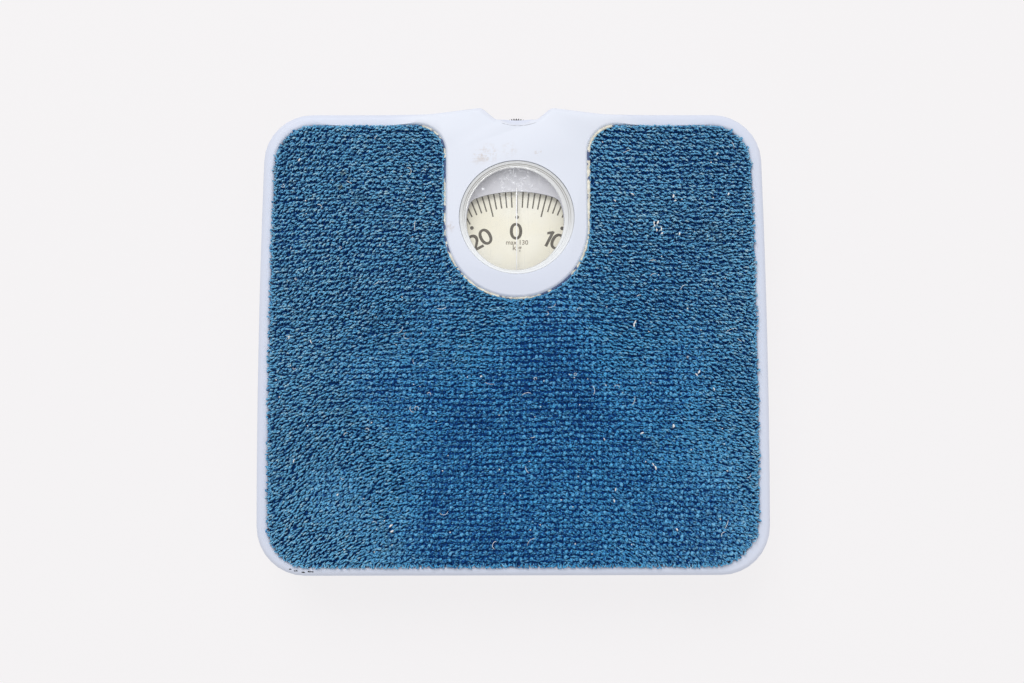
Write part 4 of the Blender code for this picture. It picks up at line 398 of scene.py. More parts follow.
def mix_shaders(tree, factor, first, second, output):
    """Feeds an output from two shader nodes, the second one in the measure of the factor."""
    blend = tree.nodes.new("ShaderNodeMixShader")
    plug(tree, blend.inputs[0], factor)
    tree.links.new(first.outputs[0], blend.inputs[1])
    tree.links.new(second.outputs[0], blend.inputs[2])
    tree.links.new(blend.outputs[0], output.inputs["Surface"])


def shade(colour, *factors):
    """A colour times one factor, or times one for each of its three parts."""
    return tuple(part * factor for part, factor in zip(colour, factors * (3 // len(factors))))


class Finish:
    """A procedural material under construction."""

    def __init__(self, name, **constants):
        self.material = bpy.data.materials.new(name)
        self.material.use_nodes = True
        self.tree = self.material.node_tree
        self.shader = self.tree.nodes["Principled BSDF"]
        for label, value in constants.items():
            self.set(label.replace("_", " "), value)

    def set(self, label, value):
        """Feeds a socket of the shader."""
        plug(self.tree, self.shader.inputs[label], value)

    def add(self, kind, output, settings, **inputs):
        """Adds a node, its settings first, then its inputs, and returns one output."""
        node = self.tree.nodes.new(kind)
        for name, value in settings.items():
            setattr(node, name, value)
        for name, value in inputs.items():
            key = int(name[1:]) if name[1:].isdigit() else name.replace("_", " ")
            plug(self.tree, node.inputs[key], value)
        return Value(self.tree, node.outputs[output])

    def place(self):
        """Object coordinates."""
        return self.add("ShaderNodeTexCoord", "Object", {})

    def axis(self, letter, vector=None):
        """One part of the object coordinates, or of another vector."""
        return self.add("ShaderNodeSeparateXYZ", letter, {}, Vector=vector or self.place())

    def attribute(self, name):
        """A number kept on the piece's own mesh."""
        return self.add("ShaderNodeAttribute", "Fac", {"attribute_name": name})

    def stretched(self, scale, origin=(0.0, 0.0, 0.0), turn=0.0):
        """Object coordinates about an origin, turned about Z and scaled per axis."""
        moved = self.add(
            "ShaderNodeVectorMath", "Vector", {"operation": "SUBTRACT"}, i0=self.place(), i1=origin
        )
        return self.add(
            "ShaderNodeMapping", "Vector", {}, Vector=moved, Rotation=(0.0, 0.0, turn), Scale=scale
        )

    def distance(self, point):
        """Distance from a point of the piece."""
        return self.add(
            "ShaderNodeVectorMath", "Value", {"operation": "DISTANCE"}, i0=self.place(), i1=point
        )

    def spot(self, point, inner, outer):
        """1 as far as the inner radius round a point, and 0 from the outer one."""
        return 1 - self.distance(point).step(inner, outer)

    def noise(self, scale, detail=2.0, roughness=0.5, vector=None):
        """Noise from 0 to 1."""
        return self.add(
            "ShaderNodeTexNoise", "Fac", {}, Vector=vector or self.place(), Scale=scale,
            Detail=detail, Roughness=roughness,
        )

    def lines(self, scale, turn=0.0, detail=2.0, roughness=0.5):
        """Noise drawn out into lines by a scale for each axis."""
        return self.noise(1.0, detail, roughness, self.stretched(scale, turn=turn))

    def specks(self, scale, inner, outer):
        """Scattered round specks, 1 in their middle."""
        cells = self.add(
            "ShaderNodeTexVoronoi", "Distance", {}, Vector=self.place(), Scale=scale
        )
        return 1 - cells.step(inner, outer)

    def bands(self, direction, vector, **inputs):
        """Wavy bands from 0 to 1."""
        return self.add(
            "ShaderNodeTexWave", "Fac", {"wave_type": "BANDS", "bands_direction": direction},
            Vector=vector, **inputs,
        )

    def mix(self, factor, first, second):
        """Colour between two colours."""
        return self.add(
            "ShaderNodeMix", 2, {"data_type": "RGBA"}, i0=factor, i6=first, i7=second
        )

    def done(self, base, rough, height=None, depth=0.0, strength=1.0):
        """Feeds the colour, the roughness and, from a height, the bump."""
        self.set("Base Color", base)
        self.set("Roughness", rough)
        if height is not None:
            self.set("Normal", self.add(
                "ShaderNodeBump", "Normal", {}, Height=height, Distance=depth, Strength=strength
            ))
        return self.material


# Finishes of this scale
def enamel_finish(name, colours, chips=(), stains=(), housing=False):
    """Stoved enamel with a faint orange peel, specks, chips and stains, and on the cover painted
    shade on the rim and along the crease.
    """
    finish = Finish(name, Coat_Weight=0.05, Coat_Roughness=0.15, Specular_IOR_Level=0.3)
    cloud = finish.noise(9.0, 3.0)
    base = finish.mix(cloud.step(0.3, 0.7), colours.enamel, shade(colours.enamel, 0.97))
    # Painted shade: on the cover, the rim and the housing's front end are painted darker than the
    # housing's top
    if housing:
        along = finish.axis("Y")
        out_of_painted_shade = finish.axis("Z").step(*HOUSING_Z) * (along.step(*HOUSING_Y) * 0.8 + 0.2)
        base = finish.mix(out_of_painted_shade, shade(colours.enamel, *RIM_PAINTED_SHADE), base)
    for point, radius, depth in stains:
        spot = finish.spot(point, radius * 0.2, radius)
        patch = spot * finish.noise(420.0, 4.0, 0.65).step(0.42, 0.66) * depth
        base = finish.mix(patch, base, colours.stain)
    # Painted shadow: a thin dark line in the chip colour along the crease before the notch
    if housing:
        around = abs(finish.distance(CREASE) - CREASE_RADIUS)
        across = abs(finish.axis("X") - CREASE[0])
        line = (1 - around.step(*CREASE_WIDTH)) * (1 - across.step(*CREASE_HALF))
        line = line * (1 - along.step(*CREASE_REAR)) * finish.noise(300.0, 2.0).step(0.25, 0.6)
        base = finish.mix(line * 0.45, base, colours.chip)
    rare = finish.noise(31.0, 1.0).step(0.60, 0.64)
    base = finish.mix(finish.specks(95.0, 0.02, 0.06) * rare * 0.55, base, colours.stain)
    bare = None
    for point, radius in chips:
        near = finish.stretched((0.45, 1.0, 1.0), point)
        reach = finish.add("ShaderNodeVectorMath", "Value", {"operation": "LENGTH"}, i0=near)
        spot = 1 - reach.step(radius * 0.25, radius * 0.55)
        edge = (spot * 1.4 * finish.noise(1300.0, 2.0, 0.6)).step(0.48, 0.60)
        bare = edge if bare is None else bare.larger(edge)
    rough = finish.noise(260.0, 3.0) * 0.10 + 0.34
    height = finish.noise(700.0, 2.0) * 0.25 + finish.noise(70.0, 1.0)
    if bare is not None:
        base = finish.mix(bare, base, colours.chip)
        rough = rough + bare * 0.35
        height = height - bare * 2.5
    return finish.done(base, rough, height, 0.00006, 0.6)


def yarn_finish(name, sizes):
    """Dyed yarn: deep colour low in the pile as painted shade, faded crowns, painted highlights on
    chafed crowns, fine fibres along the strand.
    """
    finish = Finish(name, Sheen_Weight=0.04, Sheen_Roughness=0.5, Specular_IOR_Level=0.15)
    crown = finish.attribute("crown")
    tone = finish.attribute("tone")
    along_strand = finish.add("ShaderNodeUVMap", "UV", {"uv_map": "strand"})
    plies = finish.bands(
        "DIAGONAL", along_strand, Scale=0.75, Distortion=1.2, Detail=2.0, Detail_Scale=2.0
    )
    cloud = finish.noise(14.0, 3.0)
    mottle = finish.noise(70.0, 2.0)
    fine = finish.noise(1150.0, 2.0, 0.6)
    middle_x, middle_y, half_x, half_y = FADED
    across = (finish.axis("X") - middle_x) / half_x
    along = (finish.axis("Y") - middle_y) / half_y
    trodden = (across ** 2.0 + along ** 2.0) ** 0.5
    upper = (trodden + (cloud - 0.5) * 0.7).step(0.45, 1.45)
    # Painted shade: by the crown attribute, the yarn goes from its deep colour low in the pile to its
    # faded colour at the crown
    lit = crown * 0.62 + tone * 0.48 + plies * 0.14 + (fine - 0.5) * 3.8 + upper * 0.08 + 0.05
    lit = (lit + (cloud - 0.5) * 0.5 + (mottle - 0.5) * 0.5).step(0.16, 0.98)
    worn = finish.mix(upper, shade(sizes.light, 0.52, 0.86, 0.98), sizes.light)
    base = finish.mix(lit, sizes.dark, worn)
    # Painted highlights, with chafing: pale yarn on the highest and lightest crowns
    chafe_and_highlight = (tone + (fine - 0.5) * 2.6).step(0.72, 1.20) * crown * (upper * 0.55 + 0.50)
    base = finish.mix(chafe_and_highlight, base, sizes.pale)
    grime = finish.noise(48.0, 2.0).step(0.64, 0.78) * 0.35
    base = finish.mix(grime * crown, base, sizes.grime)
    for point, radius in OLIVE_SPOTS:
        spot = finish.spot(point, radius * 0.3, radius)
        patch = spot * finish.noise(900.0, 2.0).step(0.35, 0.6) * 0.75
        base = finish.mix(patch, base, sizes.olive)
    height = plies + finish.noise(2600.0, 2.0, 0.6) * 0.8
    return finish.done(base, 0.85 - plies * 0.2, height, 0.00025, 0.9)


def backing_finish(name, sizes):
    """Woven backing, coloured darker than the yarn's deep dye as painted shade between the loops."""
    finish = Finish(name, Specular_IOR_Level=0.2)
    weave, cross = (
        finish.bands(direction, finish.place(), Scale=scale, Distortion=2.0, Detail=1.0)
        for direction, scale in (("X", 180.0), ("Y", 150.0))
    )
    # Painted shade: the backing is the deep yarn colour taken down to about a third, lighter where
    # the weave crosses
    base = finish.mix(weave * cross, shade(sizes.dark, 0.35), sizes.dark)
    return finish.done(base, 0.95 - weave * 0.1, weave + cross, 0.0002, 0.7)


def glue_finish(name, sizes):
    """Dried glue and jute ends, tan with dyed fibres caught in it."""
    finish = Finish(name, Specular_IOR_Level=0.35)
    fleck = finish.noise(330.0, 4.0, 0.7)
    base = finish.mix(fleck.step(0.35, 0.65), shade(sizes.glue, 0.72), sizes.glue)
    dyed = finish.noise(95.0, 3.0, 0.6).step(0.53, 0.58)
    base = finish.mix(dyed * 0.9, base, shade(sizes.dark, 0.6))
    return finish.done(base, fleck * 0.25 + 0.6, fleck, 0.0002, 0.9)


def lint_finish(name, colour):
    """Loose cotton fibre."""
    finish = Finish(name, Specular_IOR_Level=0.3)
    fuzz = finish.noise(1500.0, 2.0)
    return finish.done(finish.mix(fuzz, shade(colour, 0.85), colour), fuzz * 0.2 + 0.7, fuzz, 0.00005)


def plated_finish(name, colour, rough, grain=(60.0, 1400.0, 60.0)):
    """Rolled and plated steel, with a faint grain and dull cloudy patches."""
    finish = Finish(name)
    lines = finish.lines(grain, detail=3.0, roughness=0.6)
    cloud = finish.noise(120.0, 4.0, 0.6)
    finish.set("Metallic", 1.0 - cloud.step(0.62, 0.80) * 0.25)
    base = finish.mix(cloud.step(0.35, 0.7), colour, shade(colour, 0.80))
    rough = lines * 0.14 + cloud * 0.16 + rough - 0.12
    return finish.done(base, rough, lines + cloud * 0.4, 0.00004, 0.5)


def wire_finish(name, colour):
    """Drawn and oiled spring wire."""
    finish = Finish(name, Metallic=1.0)
    cloud = finish.noise(500.0, 3.0, 0.6)
    base = finish.mix(cloud, shade(colour, 0.6), colour)
    return finish.done(base, cloud * 0.2 + 0.22, finish.noise(3000.0, 2.0), 0.00002, 0.5)


def moulded_finish(name, colour, rough):
    """Fine grained rubber or plastic, a little dusty."""
    finish = Finish(name, Specular_IOR_Level=0.4)
    grain = finish.noise(1400.0, 2.0)
    dust = finish.noise(90.0, 4.0, 0.65).step(0.52, 0.78)
    base = finish.mix(dust * 0.5, colour, tuple(part * 0.6 + 0.05 for part in colour))
    return finish.done(base, grain * 0.12 + dust * 0.15 + rough, grain, 0.00004, 0.6)


def card_finish(name, colour):
    """Painted dial disc, slightly yellowed and freckled."""
    finish = Finish(name, Specular_IOR_Level=0.3)
    cloud = finish.noise(26.0, 4.0, 0.55)
    base = finish.mix(cloud.step(0.3, 0.75), colour, shade(colour, 0.97, 0.94, 0.86))
    freckle = finish.specks(420.0, 0.03, 0.10) * finish.noise(60.0).step(0.55, 0.62)
    base = finish.mix(freckle * 0.5, base, (0.45, 0.36, 0.22))
    rough = finish.noise(900.0, 2.0) * 0.1 + 0.55
    return finish.done(base, rough, finish.noise(1800.0, 2.0), 0.00002, 0.5)


def ink_finish(name, colour):
    """Screen-printed ink, thin and slightly broken."""
    finish = Finish(name, Specular_IOR_Level=0.2)
    wear = finish.noise(1600.0, 3.0, 0.6)
    base = finish.mix(wear.step(0.35, 0.85) * 0.5, colour, (0.30, 0.27, 0.22))
    return finish.done(base, wear * 0.15 + 0.6)


def mask_finish(name, colour):
    """Grey paint with dust and fine scratches, and a painted shadow on its upright faces, the
    opening's cut edge among them.
    """
    finish = Finish(name, Specular_IOR_Level=0.35)
    cloud = finish.noise(40.0, 3.0)
    long_lines = finish.lines((900.0, 60.0, 60.0), 0.7).step(0.66, 0.70)
    cross_lines = finish.lines((70.0, 1100.0, 60.0), -0.5).step(0.67, 0.71)
    scratch = long_lines.larger(cross_lines) * 0.35
    base = finish.mix(cloud, shade(colour, 0.93), shade(colour, 1.06))
    base = finish.mix(scratch, base, (0.80, 0.81, 0.83))
    # Painted shadow: faces that stand upright, as the opening's cut edge, are painted near black
    facing = finish.add("ShaderNodeNewGeometry", "True Normal", {})
    cut = 1 - abs(finish.axis("Z", facing)).step(0.2, 0.5)
    base = finish.mix(cut * 0.85, base, (0.10, 0.095, 0.09))
    height = scratch * -1.0 + finish.noise(900.0) * 0.3
    return finish.done(base, cloud * 0.15 + 0.45, height, 0.00003, 0.6)


def clear_finish(name, colours):
    """Clear moulded window: almost open over the dial, whiter on its stepped rim, with painted light
    and shade on the rim.
    """
    finish = Finish(name, Specular_IOR_Level=0.5)
    across = (finish.axis("X") - AXIS_X - OPEN_X) * (OPEN_TALL / OPEN_WIDE)
    along = finish.axis("Y") - LENS_Y
    opening = (across * across + (along - OPEN_Y) * (along - OPEN_Y)) ** 0.5
    edge = opening.step(OPEN_TALL - 0.0002, OPEN_TALL + 0.0004)
    # A thin line round the clear part, painted white above as a highlight and grey below as a shadow
    border_highlight_shadow = 1 - abs(opening - OPEN_TALL).step(0.00008, 0.00028)
    top = LENS_HIGH.z
    scuffed = (AXIS_X, LENS_Y + 0.0190, top)
    paint_drop = (AXIS_X - 0.0186, LENS_Y + 0.0154, top)
    reach = finish.distance((AXIS_X, LENS_Y, top))
    inner, outer = (1 - abs(reach - radius).step(0.00012, 0.00036) for radius in RIM_LINES)
    below = 1 - along.step(-0.022, 0.010)
    haze = finish.noise(70.0, 4.0, 0.6).step(0.45, 0.85) * 0.05
    hair = finish.lines((1500.0, 45.0, 45.0), 1.1).step(0.68, 0.73)
    cross = finish.lines((1300.0, 60.0, 45.0), 0.2).step(0.68, 0.73)
    upper = finish.spot(scuffed, 0.004, 0.019)
    scuff = finish.noise(420.0, 4.0, 0.7).step(0.52, 0.62) * upper
    cover = haze + hair.larger(cross) * (upper * 0.20 + 0.05) + scuff * 0.22
    drop = finish.spot(paint_drop, 0.0011, 0.0016)
    cover = (cover + drop * 0.8 + edge * 0.80 + border_highlight_shadow * 0.20 + 0.02).smaller(1.0)
    lamp = finish.add("ShaderNodeLightPath", "Is Shadow Ray", {})
    finish.set("Alpha", cover * (1 - lamp * 0.9))
    # Painted highlight: the rim's lower part, which would face the light, is painted whiter
    rim = finish.mix(below, colours.rim, (0.93, 0.95, 0.97))
    rim = finish.mix(inner.larger(outer) * along.step(-0.014, 0.020) * 0.8, rim, colours.rim_line)
    # Painted highlight and shadow: the border line is white on the upper side and grey on the lower
    # side
    rim = finish.mix(border_highlight_shadow * 0.6, rim, finish.mix(below, (0.95, 0.95, 0.96), (0.44, 0.45, 0.47)))
    base = finish.mix(edge.larger(border_highlight_shadow), (0.90, 0.92, 0.97), rim)
    finish.material.surface_render_method = "BLENDED"
    return finish.done(base, 0.12, finish.noise(160.0, 2.0), 0.00003, 0.3)


# Mesh helpers
def mesh_of(name, bm):
    """The mesh of a bmesh, which is used up."""
    mesh = bpy.data.meshes.new(name)
    bm.to_mesh(mesh)
    bm.free()
    return mesh


def linked(name, data):
    """A new object in the scene."""
    obj = bpy.data.objects.new(name, data)
    bpy.context.scene.collection.objects.link(obj)
    return obj


def dressed(name, mesh, material, smooth):
    """An object of a whole mesh, smooth up to an angle, in its finish."""
    if not mesh.polygons:
        raise RuntimeError(name + " came out empty")
    mesh.shade_smooth()
    mesh.set_sharp_from_angle(angle=math.radians(smooth))
    mesh.materials.append(material)
    return linked(name, mesh)


def riding(name, mesh, material, body, smooth=35.0):
    """A piece of a whole mesh that rides on a body of the frame."""
    obj = dressed(name, mesh, material, smooth)
    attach(obj, body)
    return obj


def finished(name, bm, material, body, smooth=35.0):
    """The same from a bmesh, whose faces are turned outwards first."""
    bmesh.ops.recalc_face_normals(bm, faces=bm.faces)
    return riding(name, mesh_of(name, bm), material, body, smooth)


def redress(material, node):
    """Gives a node of the frame a better finish."""
    materials = frame["nodes"][node].data.materials
    materials.clear()
    materials.append(material)


def clamp(value):
    """A number kept from 0 to 1."""
    return min(max(value, 0.0), 1.0)


def drift(x, y, scale, layer):
    """Smooth wandering from -1 to 1 over the plan, another one in each layer."""
    return noise.noise(Vector((x * scale, y * scale, layer)))


def middle(low, high):
    """Middle of a box in plan."""
    return (low.x + high.x) / 2, (low.y + high.y) / 2


def quarter(steps):
    """How far in and how far up the points of a quarter round lie, for a radius of 1."""
    for step in range(steps + 1):
        angle = math.pi / 2 * step / steps
        yield 1 - math.cos(angle), math.sin(angle)


def winding(turns, per_turn, coil, pitch):
    """Points of a coil: across its axis twice, then along it."""
    for step in range(turns * per_turn + 1):
        angle = math.tau * step / per_turn
        yield coil * math.cos(angle), coil * math.sin(angle), pitch * step / per_turn


def loft(levels):
    """Solid through closed loops of as many points each."""
    bm = bmesh.new()
    cap = bm.faces.new([bm.verts.new(point) for point in levels[0]])
    for level in levels[1:]:
        cap = bmesh.ops.extrude_discrete_faces(bm, faces=[cap])["faces"][0]
        for vert, point in zip(cap.verts, level):
            vert.co = point
    bmesh.ops.holes_fill(bm, edges=[edge for edge in bm.edges if edge.is_boundary])
    bmesh.ops.recalc_face_normals(bm, faces=bm.faces)
    return bm


def level_at(outline, height):
    """A flat outline as a loop at one height."""
    return [Vector((x, y, height)) for x, y in outline]


def turned(profile, steps, centre):
    """Solid of revolution about a vertical axis from (radius, height) points."""
    bm = bmesh.new()
    verts = [bm.verts.new((radius, 0.0, height)) for radius, height in profile]
    edges = [bm.edges.new(pair) for pair in zip(verts, verts[1:] + verts[:1])]
    bmesh.ops.spin(
        bm, geom=verts + edges, cent=(0, 0, 0), axis=(0, 0, 1), angle=math.tau,
        steps=steps, use_merge=True,
    )
    bmesh.ops.remove_doubles(bm, verts=bm.verts, dist=TINY)
    bmesh.ops.delete(bm, geom=[e for e in bm.edges if not e.link_faces], context="EDGES")
    bmesh.ops.recalc_face_normals(bm, faces=bm.faces)
    bmesh.ops.translate(bm, verts=bm.verts, vec=(*centre, 0.0))
    return bm


def tube(points, radii, sides, bm=None):
    """Tube of round rings along a path, its two ends closed."""
    bm = bm or bmesh.new()
    ring = []
    for index, point in enumerate(points):
        ahead = points[min(index + 1, len(points) - 1)] - points[max(index - 1, 0)]
        place = Matrix.Translation(point) @ ahead.to_track_quat("Z", "Y").to_matrix().to_4x4()
        if not ring:
            ring = list(bmesh.ops.create_circle(bm, segments=sides, radius=1.0)["verts"])
            unit = [vert.co.copy() for vert in ring]
            bm.faces.new(list(reversed(ring)))
        else:
            loop = [
                next(e for e in vert.link_edges if e.other_vert(vert) is ring[(k + 1) % sides])
                for k, vert in enumerate(ring)
            ]
            made = bmesh.ops.extrude_edge_only(bm, edges=loop)["geom"]
            fresh = [item for item in made if isinstance(item, bmesh.types.BMVert)]
            ring = [
                next(e.other_vert(old) for e in old.link_edges if e.other_vert(old) in fresh)
                for old in ring
            ]
        for vert, spot in zip(ring, unit):
            vert.co = place @ (spot * radii[index])
    bm.faces.new(ring)
    return bm


def carved(body, *tools):
    """A body less its tools, by the exact solver. The bmeshes are used up."""
    for tool in tools:
        objects = [
            linked(label, mesh_of(label, bm)) for label, bm in (("body", body), ("tool", tool))
        ]
        modifier = objects[0].modifiers.new("carve", "BOOLEAN")
        modifier.operation = "DIFFERENCE"
        modifier.solver = "EXACT"
        modifier.object = objects[1]
        bpy.context.view_layer.update()
        evaluated = objects[0].evaluated_get(bpy.context.evaluated_depsgraph_get())
        body = bmesh.new()
        body.from_mesh(evaluated.to_mesh())
        evaluated.to_mesh_clear()
        for obj in objects:
            mesh = obj.data
            bpy.data.objects.remove(obj, do_unlink=True)
            bpy.data.meshes.remove(mesh)
        bmesh.ops.remove_doubles(body, verts=body.verts, dist=TINY)
        if not body.faces:
            raise RuntimeError("a cut left nothing")
    return body


def rounded_outline(corners, inset=0.0):
    """Outline with rounded corners (x, y, radius, steps), moved inwards by an inset."""
    outline = []
    for index, (x, y, radius, steps) in enumerate(corners):
        here = Vector((x, y))
        before = (here - Vector(corners[index - 1][:2])).normalized()
        after = (Vector(corners[(index + 1) % len(corners)][:2]) - here).normalized()
        turn = math.atan2(before.x * after.y - before.y * after.x, before.dot(after))
        side = 1 if turn > 0 else -1
        normal = Vector((-before.y, before.x)) * side
        centre = here - before * radius * math.tan(abs(turn) / 2) + normal * radius
        for step in range(steps + 1):
            arm = Matrix.Rotation(turn * step / steps, 2) @ (-normal)
            point = centre + arm * (radius - side * inset)
            outline.append((point.x, point.y))
    return outline


def rounded_level(corners, inset, height):
    """A rounded outline, moved inwards by an inset, as a loop at one height."""
    return level_at(rounded_outline(corners, inset), height)


class Plan:
    """Plan of the cover and of the mat's field, from the cover's sizes."""

    # How much of half a side its bow takes
    BOWED = 0.7
    # Radii at the bulges' feet, at their peaks and at the corners of the notch
    REAR_RADII = (0.0600, 0.0056, 0.0030)
    # How far the tool for the field reaches above the rim, so that it cuts through
    CUT_ABOVE = 0.004

    def __init__(self, sizes):
        self.s = sizes
        self.front = COVER_LOW.y
        self.rear = COVER_HIGH.y - sizes.bulge
        self.notch = self.rear - sizes.notch_depth
        self.corner_x = sizes.width / 2 - sizes.side_bow * (1 - self.BOWED / 2)
        self.rise = COVER_HIGH.z - sizes.rim_top
        self.field_z = sizes.rim_top - sizes.field_depth
        self.field_rear = self.rear - sizes.rear_rim
        self.field_front = self.front + sizes.front_rim
        self.tongue_end = self.field_rear - sizes.tongue_length

    def bowed_side(self, x, front, rear, fine):
        """The corner that bows out a side, and its radius."""
        depth = rear - front
        radius = self.BOWED * depth / 2 / math.tan(math.atan2(self.s.side_bow, depth / 2))
        return x + self.s.side_bow, (rear + front) / 2, radius, fine

    def cover(self, fine):
        """Corners of the cover, with the two bulges and the finger notch at the rear."""
        s = self.s
        x = self.corner_x
        bow_x, *bow = self.bowed_side(x, self.front, self.rear, fine)
        foot_radius, peak_radius, notch_radius = self.REAR_RADII
        rear_row = [
            (s.bulge_foot, self.rear, foot_radius, fine // 2),
            (s.bulge_peak, COVER_HIGH.y, peak_radius, fine // 2),
            (s.notch_half, self.notch, notch_radius, fine // 2),
        ]
        return [
            (-x, self.front, s.corner, fine), (x, self.front, s.corner, fine), (bow_x, *bow),
            (x, self.rear, s.corner, fine),
            *[(AXIS_X + out, *rest) for out, *rest in rear_row],
            *[(AXIS_X - out, *rest) for out, *rest in reversed(rear_row)],
            (-x, self.rear, s.corner, fine), (-bow_x, *bow),
        ]

    def field(self, fine):
        """Corners of the mat's field, with the tongue of the dial housing at the rear."""
        s = self.s
        x = self.corner_x - s.rim_width
        bow_x, *bow = self.bowed_side(x, self.field_front, self.field_rear, fine)
        right = AXIS_X + s.tongue_half
        left = AXIS_X - s.tongue_half
        # A little under the half width, so that the two rounds of the tongue's end don't overlap
        round_end = s.tongue_half * 0.985
        return [
            (-x, self.field_front, s.field_corner, fine),
            (x, self.field_front, s.worn_corner, fine),
            (bow_x, *bow),
            (x, self.field_rear, s.field_corner, fine),
            (right, self.field_rear, s.tongue_flare, fine),
            (right, self.tongue_end, round_end, fine * 2),
            (left, self.tongue_end, round_end, fine * 2),
            (left, self.field_rear, s.tongue_flare, fine),
            (-x, self.field_rear, s.field_corner, fine),
            (-bow_x, *bow),
        ]

    def lift(self, bm, low, high):
        """Raises the housing, by its full rise at one height and not at all at another."""
        s = self.s
        near = s.tongue_half / 2
        for vert in bm.verts:
            x, y, z = vert.co
            across = clamp((s.housing_end - abs(x - AXIS_X)) / (s.housing_end - s.housing_full))
            along = clamp((y - self.tongue_end + near) / (near - s.field_edge))
            swell = (0.5 - 0.5 * math.cos(math.pi * across)) * along
            vert.co.z += self.rise * clamp((z - low) / (high - low)) * swell

    def slice(self, bm, strips):
        """Cuts the faces into strips where the housing rises, so that they can bend."""
        s = self.s
        places = []
        for strip in range(strips + 1):
            reach = s.housing_full + (s.housing_end - s.housing_full) * strip / strips
            places.append(((AXIS_X + reach, 0, 0), (1, 0, 0)))
            places.append(((AXIS_X - reach, 0, 0), (1, 0, 0)))
        for before_end in (s.tongue_half / 2, s.field_edge):
            places.append(((0, self.tongue_end - before_end, 0), (0, 1, 0)))
        for place, normal in places:
            whole = list(bm.verts) + list(bm.edges) + list(bm.faces)
            bmesh.ops.bisect_plane(bm, geom=whole, dist=TINY / 10, plane_co=place, plane_no=normal)

    def body(self, inset, fine):
        """Outer form of the cover, or the inner one, moved inwards by an inset."""
        s = self.s
        corners = self.cover(fine)
        fillet = s.fillet - inset
        top = s.rim_top - inset
        bottom = COVER_LOW.z - (self.CUT_ABOVE if inset else 0.0)
        levels = [rounded_level(corners, inset, bottom)]
        for inwards, up in quarter(fine):
            level_inset = inset + s.draft + fillet * inwards
            levels.append(rounded_level(corners, level_inset, top - fillet + fillet * up))
        bm = loft(levels)
        self.slice(bm, fine)
        self.lift(bm, top - fillet, top)
        return bm

    def field_tool(self, outset, fine):
        """What is pressed down for the mat's field."""
        s = self.s
        corners = self.field(fine)
        floor = self.field_z - outset
        top = s.rim_top - outset
        edge = s.field_edge - outset
        start = floor + s.field_depth / 4
        levels = [rounded_level(corners, -outset, floor)]
        for outwards, up in quarter(fine):
            levels.append(rounded_level(
                corners, -(outset + edge * outwards), start + (top - start) * up
            ))
        # The last level stands a hair wider and higher than the rim, for a clean cut
        widest = -(outset + edge * 1.02)
        levels[-1] = rounded_level(corners, widest, top + 0.00003)
        levels.append(rounded_level(corners, widest, top + self.CUT_ABOVE + 0.0003))
        bm = loft(levels)
        self.lift(bm, floor, top)
        for vert in bm.verts:
            if vert.co.z >= top + self.CUT_ABOVE:
                vert.co.z = COVER_HIGH.z + self.CUT_ABOVE
        return bm

    def inside_field(self, x, y):
        """How far a place lies inside the mat's field, roughly."""
        s = self.s
        half = self.corner_x - s.rim_width
        span = (y - self.field_front) / (self.field_rear - self.field_front)
        half += s.side_bow * 0.65 * (1 - (2 * span - 1) ** 2)
        edge = min(half - abs(x), y - self.field_front, self.field_rear - y)
        corner = s.worn_corner if x > 0 and y < 0 else s.field_corner
        dx = abs(x) - (half - corner)
        dy = max(self.field_front + corner - y, y - (self.field_rear - corner))
        if dx > 0 and dy > 0:
            edge = min(edge, corner - math.hypot(dx, dy))
        tongue_mid = self.tongue_end + s.tongue_half
        if y <= tongue_mid:
            return min(edge, math.hypot(x - AXIS_X, y - tongue_mid) - s.tongue_half)
        edge = min(edge, abs(x - AXIS_X) - s.tongue_half)
        flare_x = abs(x - AXIS_X) - (s.tongue_half + s.tongue_flare)
        flare_y = y - (self.field_rear - s.tongue_flare)
        if flare_x < 0 and flare_y > 0:
            edge = min(edge, s.tongue_flare - math.hypot(flare_x, flare_y))
        return edge


# Operators
class SCALE_OT_cover(bpy.types.Operator):
    """Builds the pressed and enamelled cover"""

    bl_idname = "scale.build_cover"
    bl_label = "Cover"

    def execute(self, context):
        s = context.scene.scale_cover
        plan = Plan(s)
        fine = 8
        outer, inner = (
            carved(plan.body(sheet, fine), plan.field_tool(sheet, fine), self.scoop(s, plan, sheet))
            for sheet in (0.0, s.sheet)
        )
        below, above = 0.040, 0.060
        hole = turned(
            [(0.0, below), (s.lens_hole, below), (s.lens_hole, above), (0.0, above)],
            LENS_STEPS, (AXIS_X, LENS_Y),
        )
        shell = carved(outer, inner, hole, self.wheel_window(s))
        material = enamel_finish("enamel_cover", s, CHIPS, STAINS, housing=True)
        piece = finished("cover_enamel", shell, material, "platform", 28.0)
        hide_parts("top_cover")
        redress(enamel_finish("enamel_pan", s), "base_pan")
        return {"FINISHED"}

    def scoop(self, s, plan, grow):
        """Ball that presses the finger scoop, grown by the sheet for the inner face."""
        behind_notch, above_rim = 0.0112, 0.011
        bm = bmesh.new()
        bmesh.ops.create_uvsphere(bm, u_segments=96, v_segments=48, radius=s.scoop + grow)
        centre = (AXIS_X, plan.notch + behind_notch, s.rim_top + above_rim)
        bmesh.ops.translate(bm, verts=bm.verts, vec=centre)
        return bm

    def wheel_window(self, s):
        """Block that cuts the opening for the zero wheel through the rear skirt."""
        top, inwards, outwards, below = 0.0452, 0.014, 0.004, 0.008
        bm = bmesh.new()
        bmesh.ops.create_cube(bm, size=1.0)
        low = Vector((AXIS_X - s.wheel_half, COVER_HIGH.y - inwards, COVER_LOW.z - below))
        high = Vector((AXIS_X + s.wheel_half, COVER_HIGH.y + outwards, top))
        bmesh.ops.scale(bm, vec=high - low, verts=bm.verts)
        bmesh.ops.translate(bm, vec=(low + high) / 2, verts=bm.verts)
        return bm


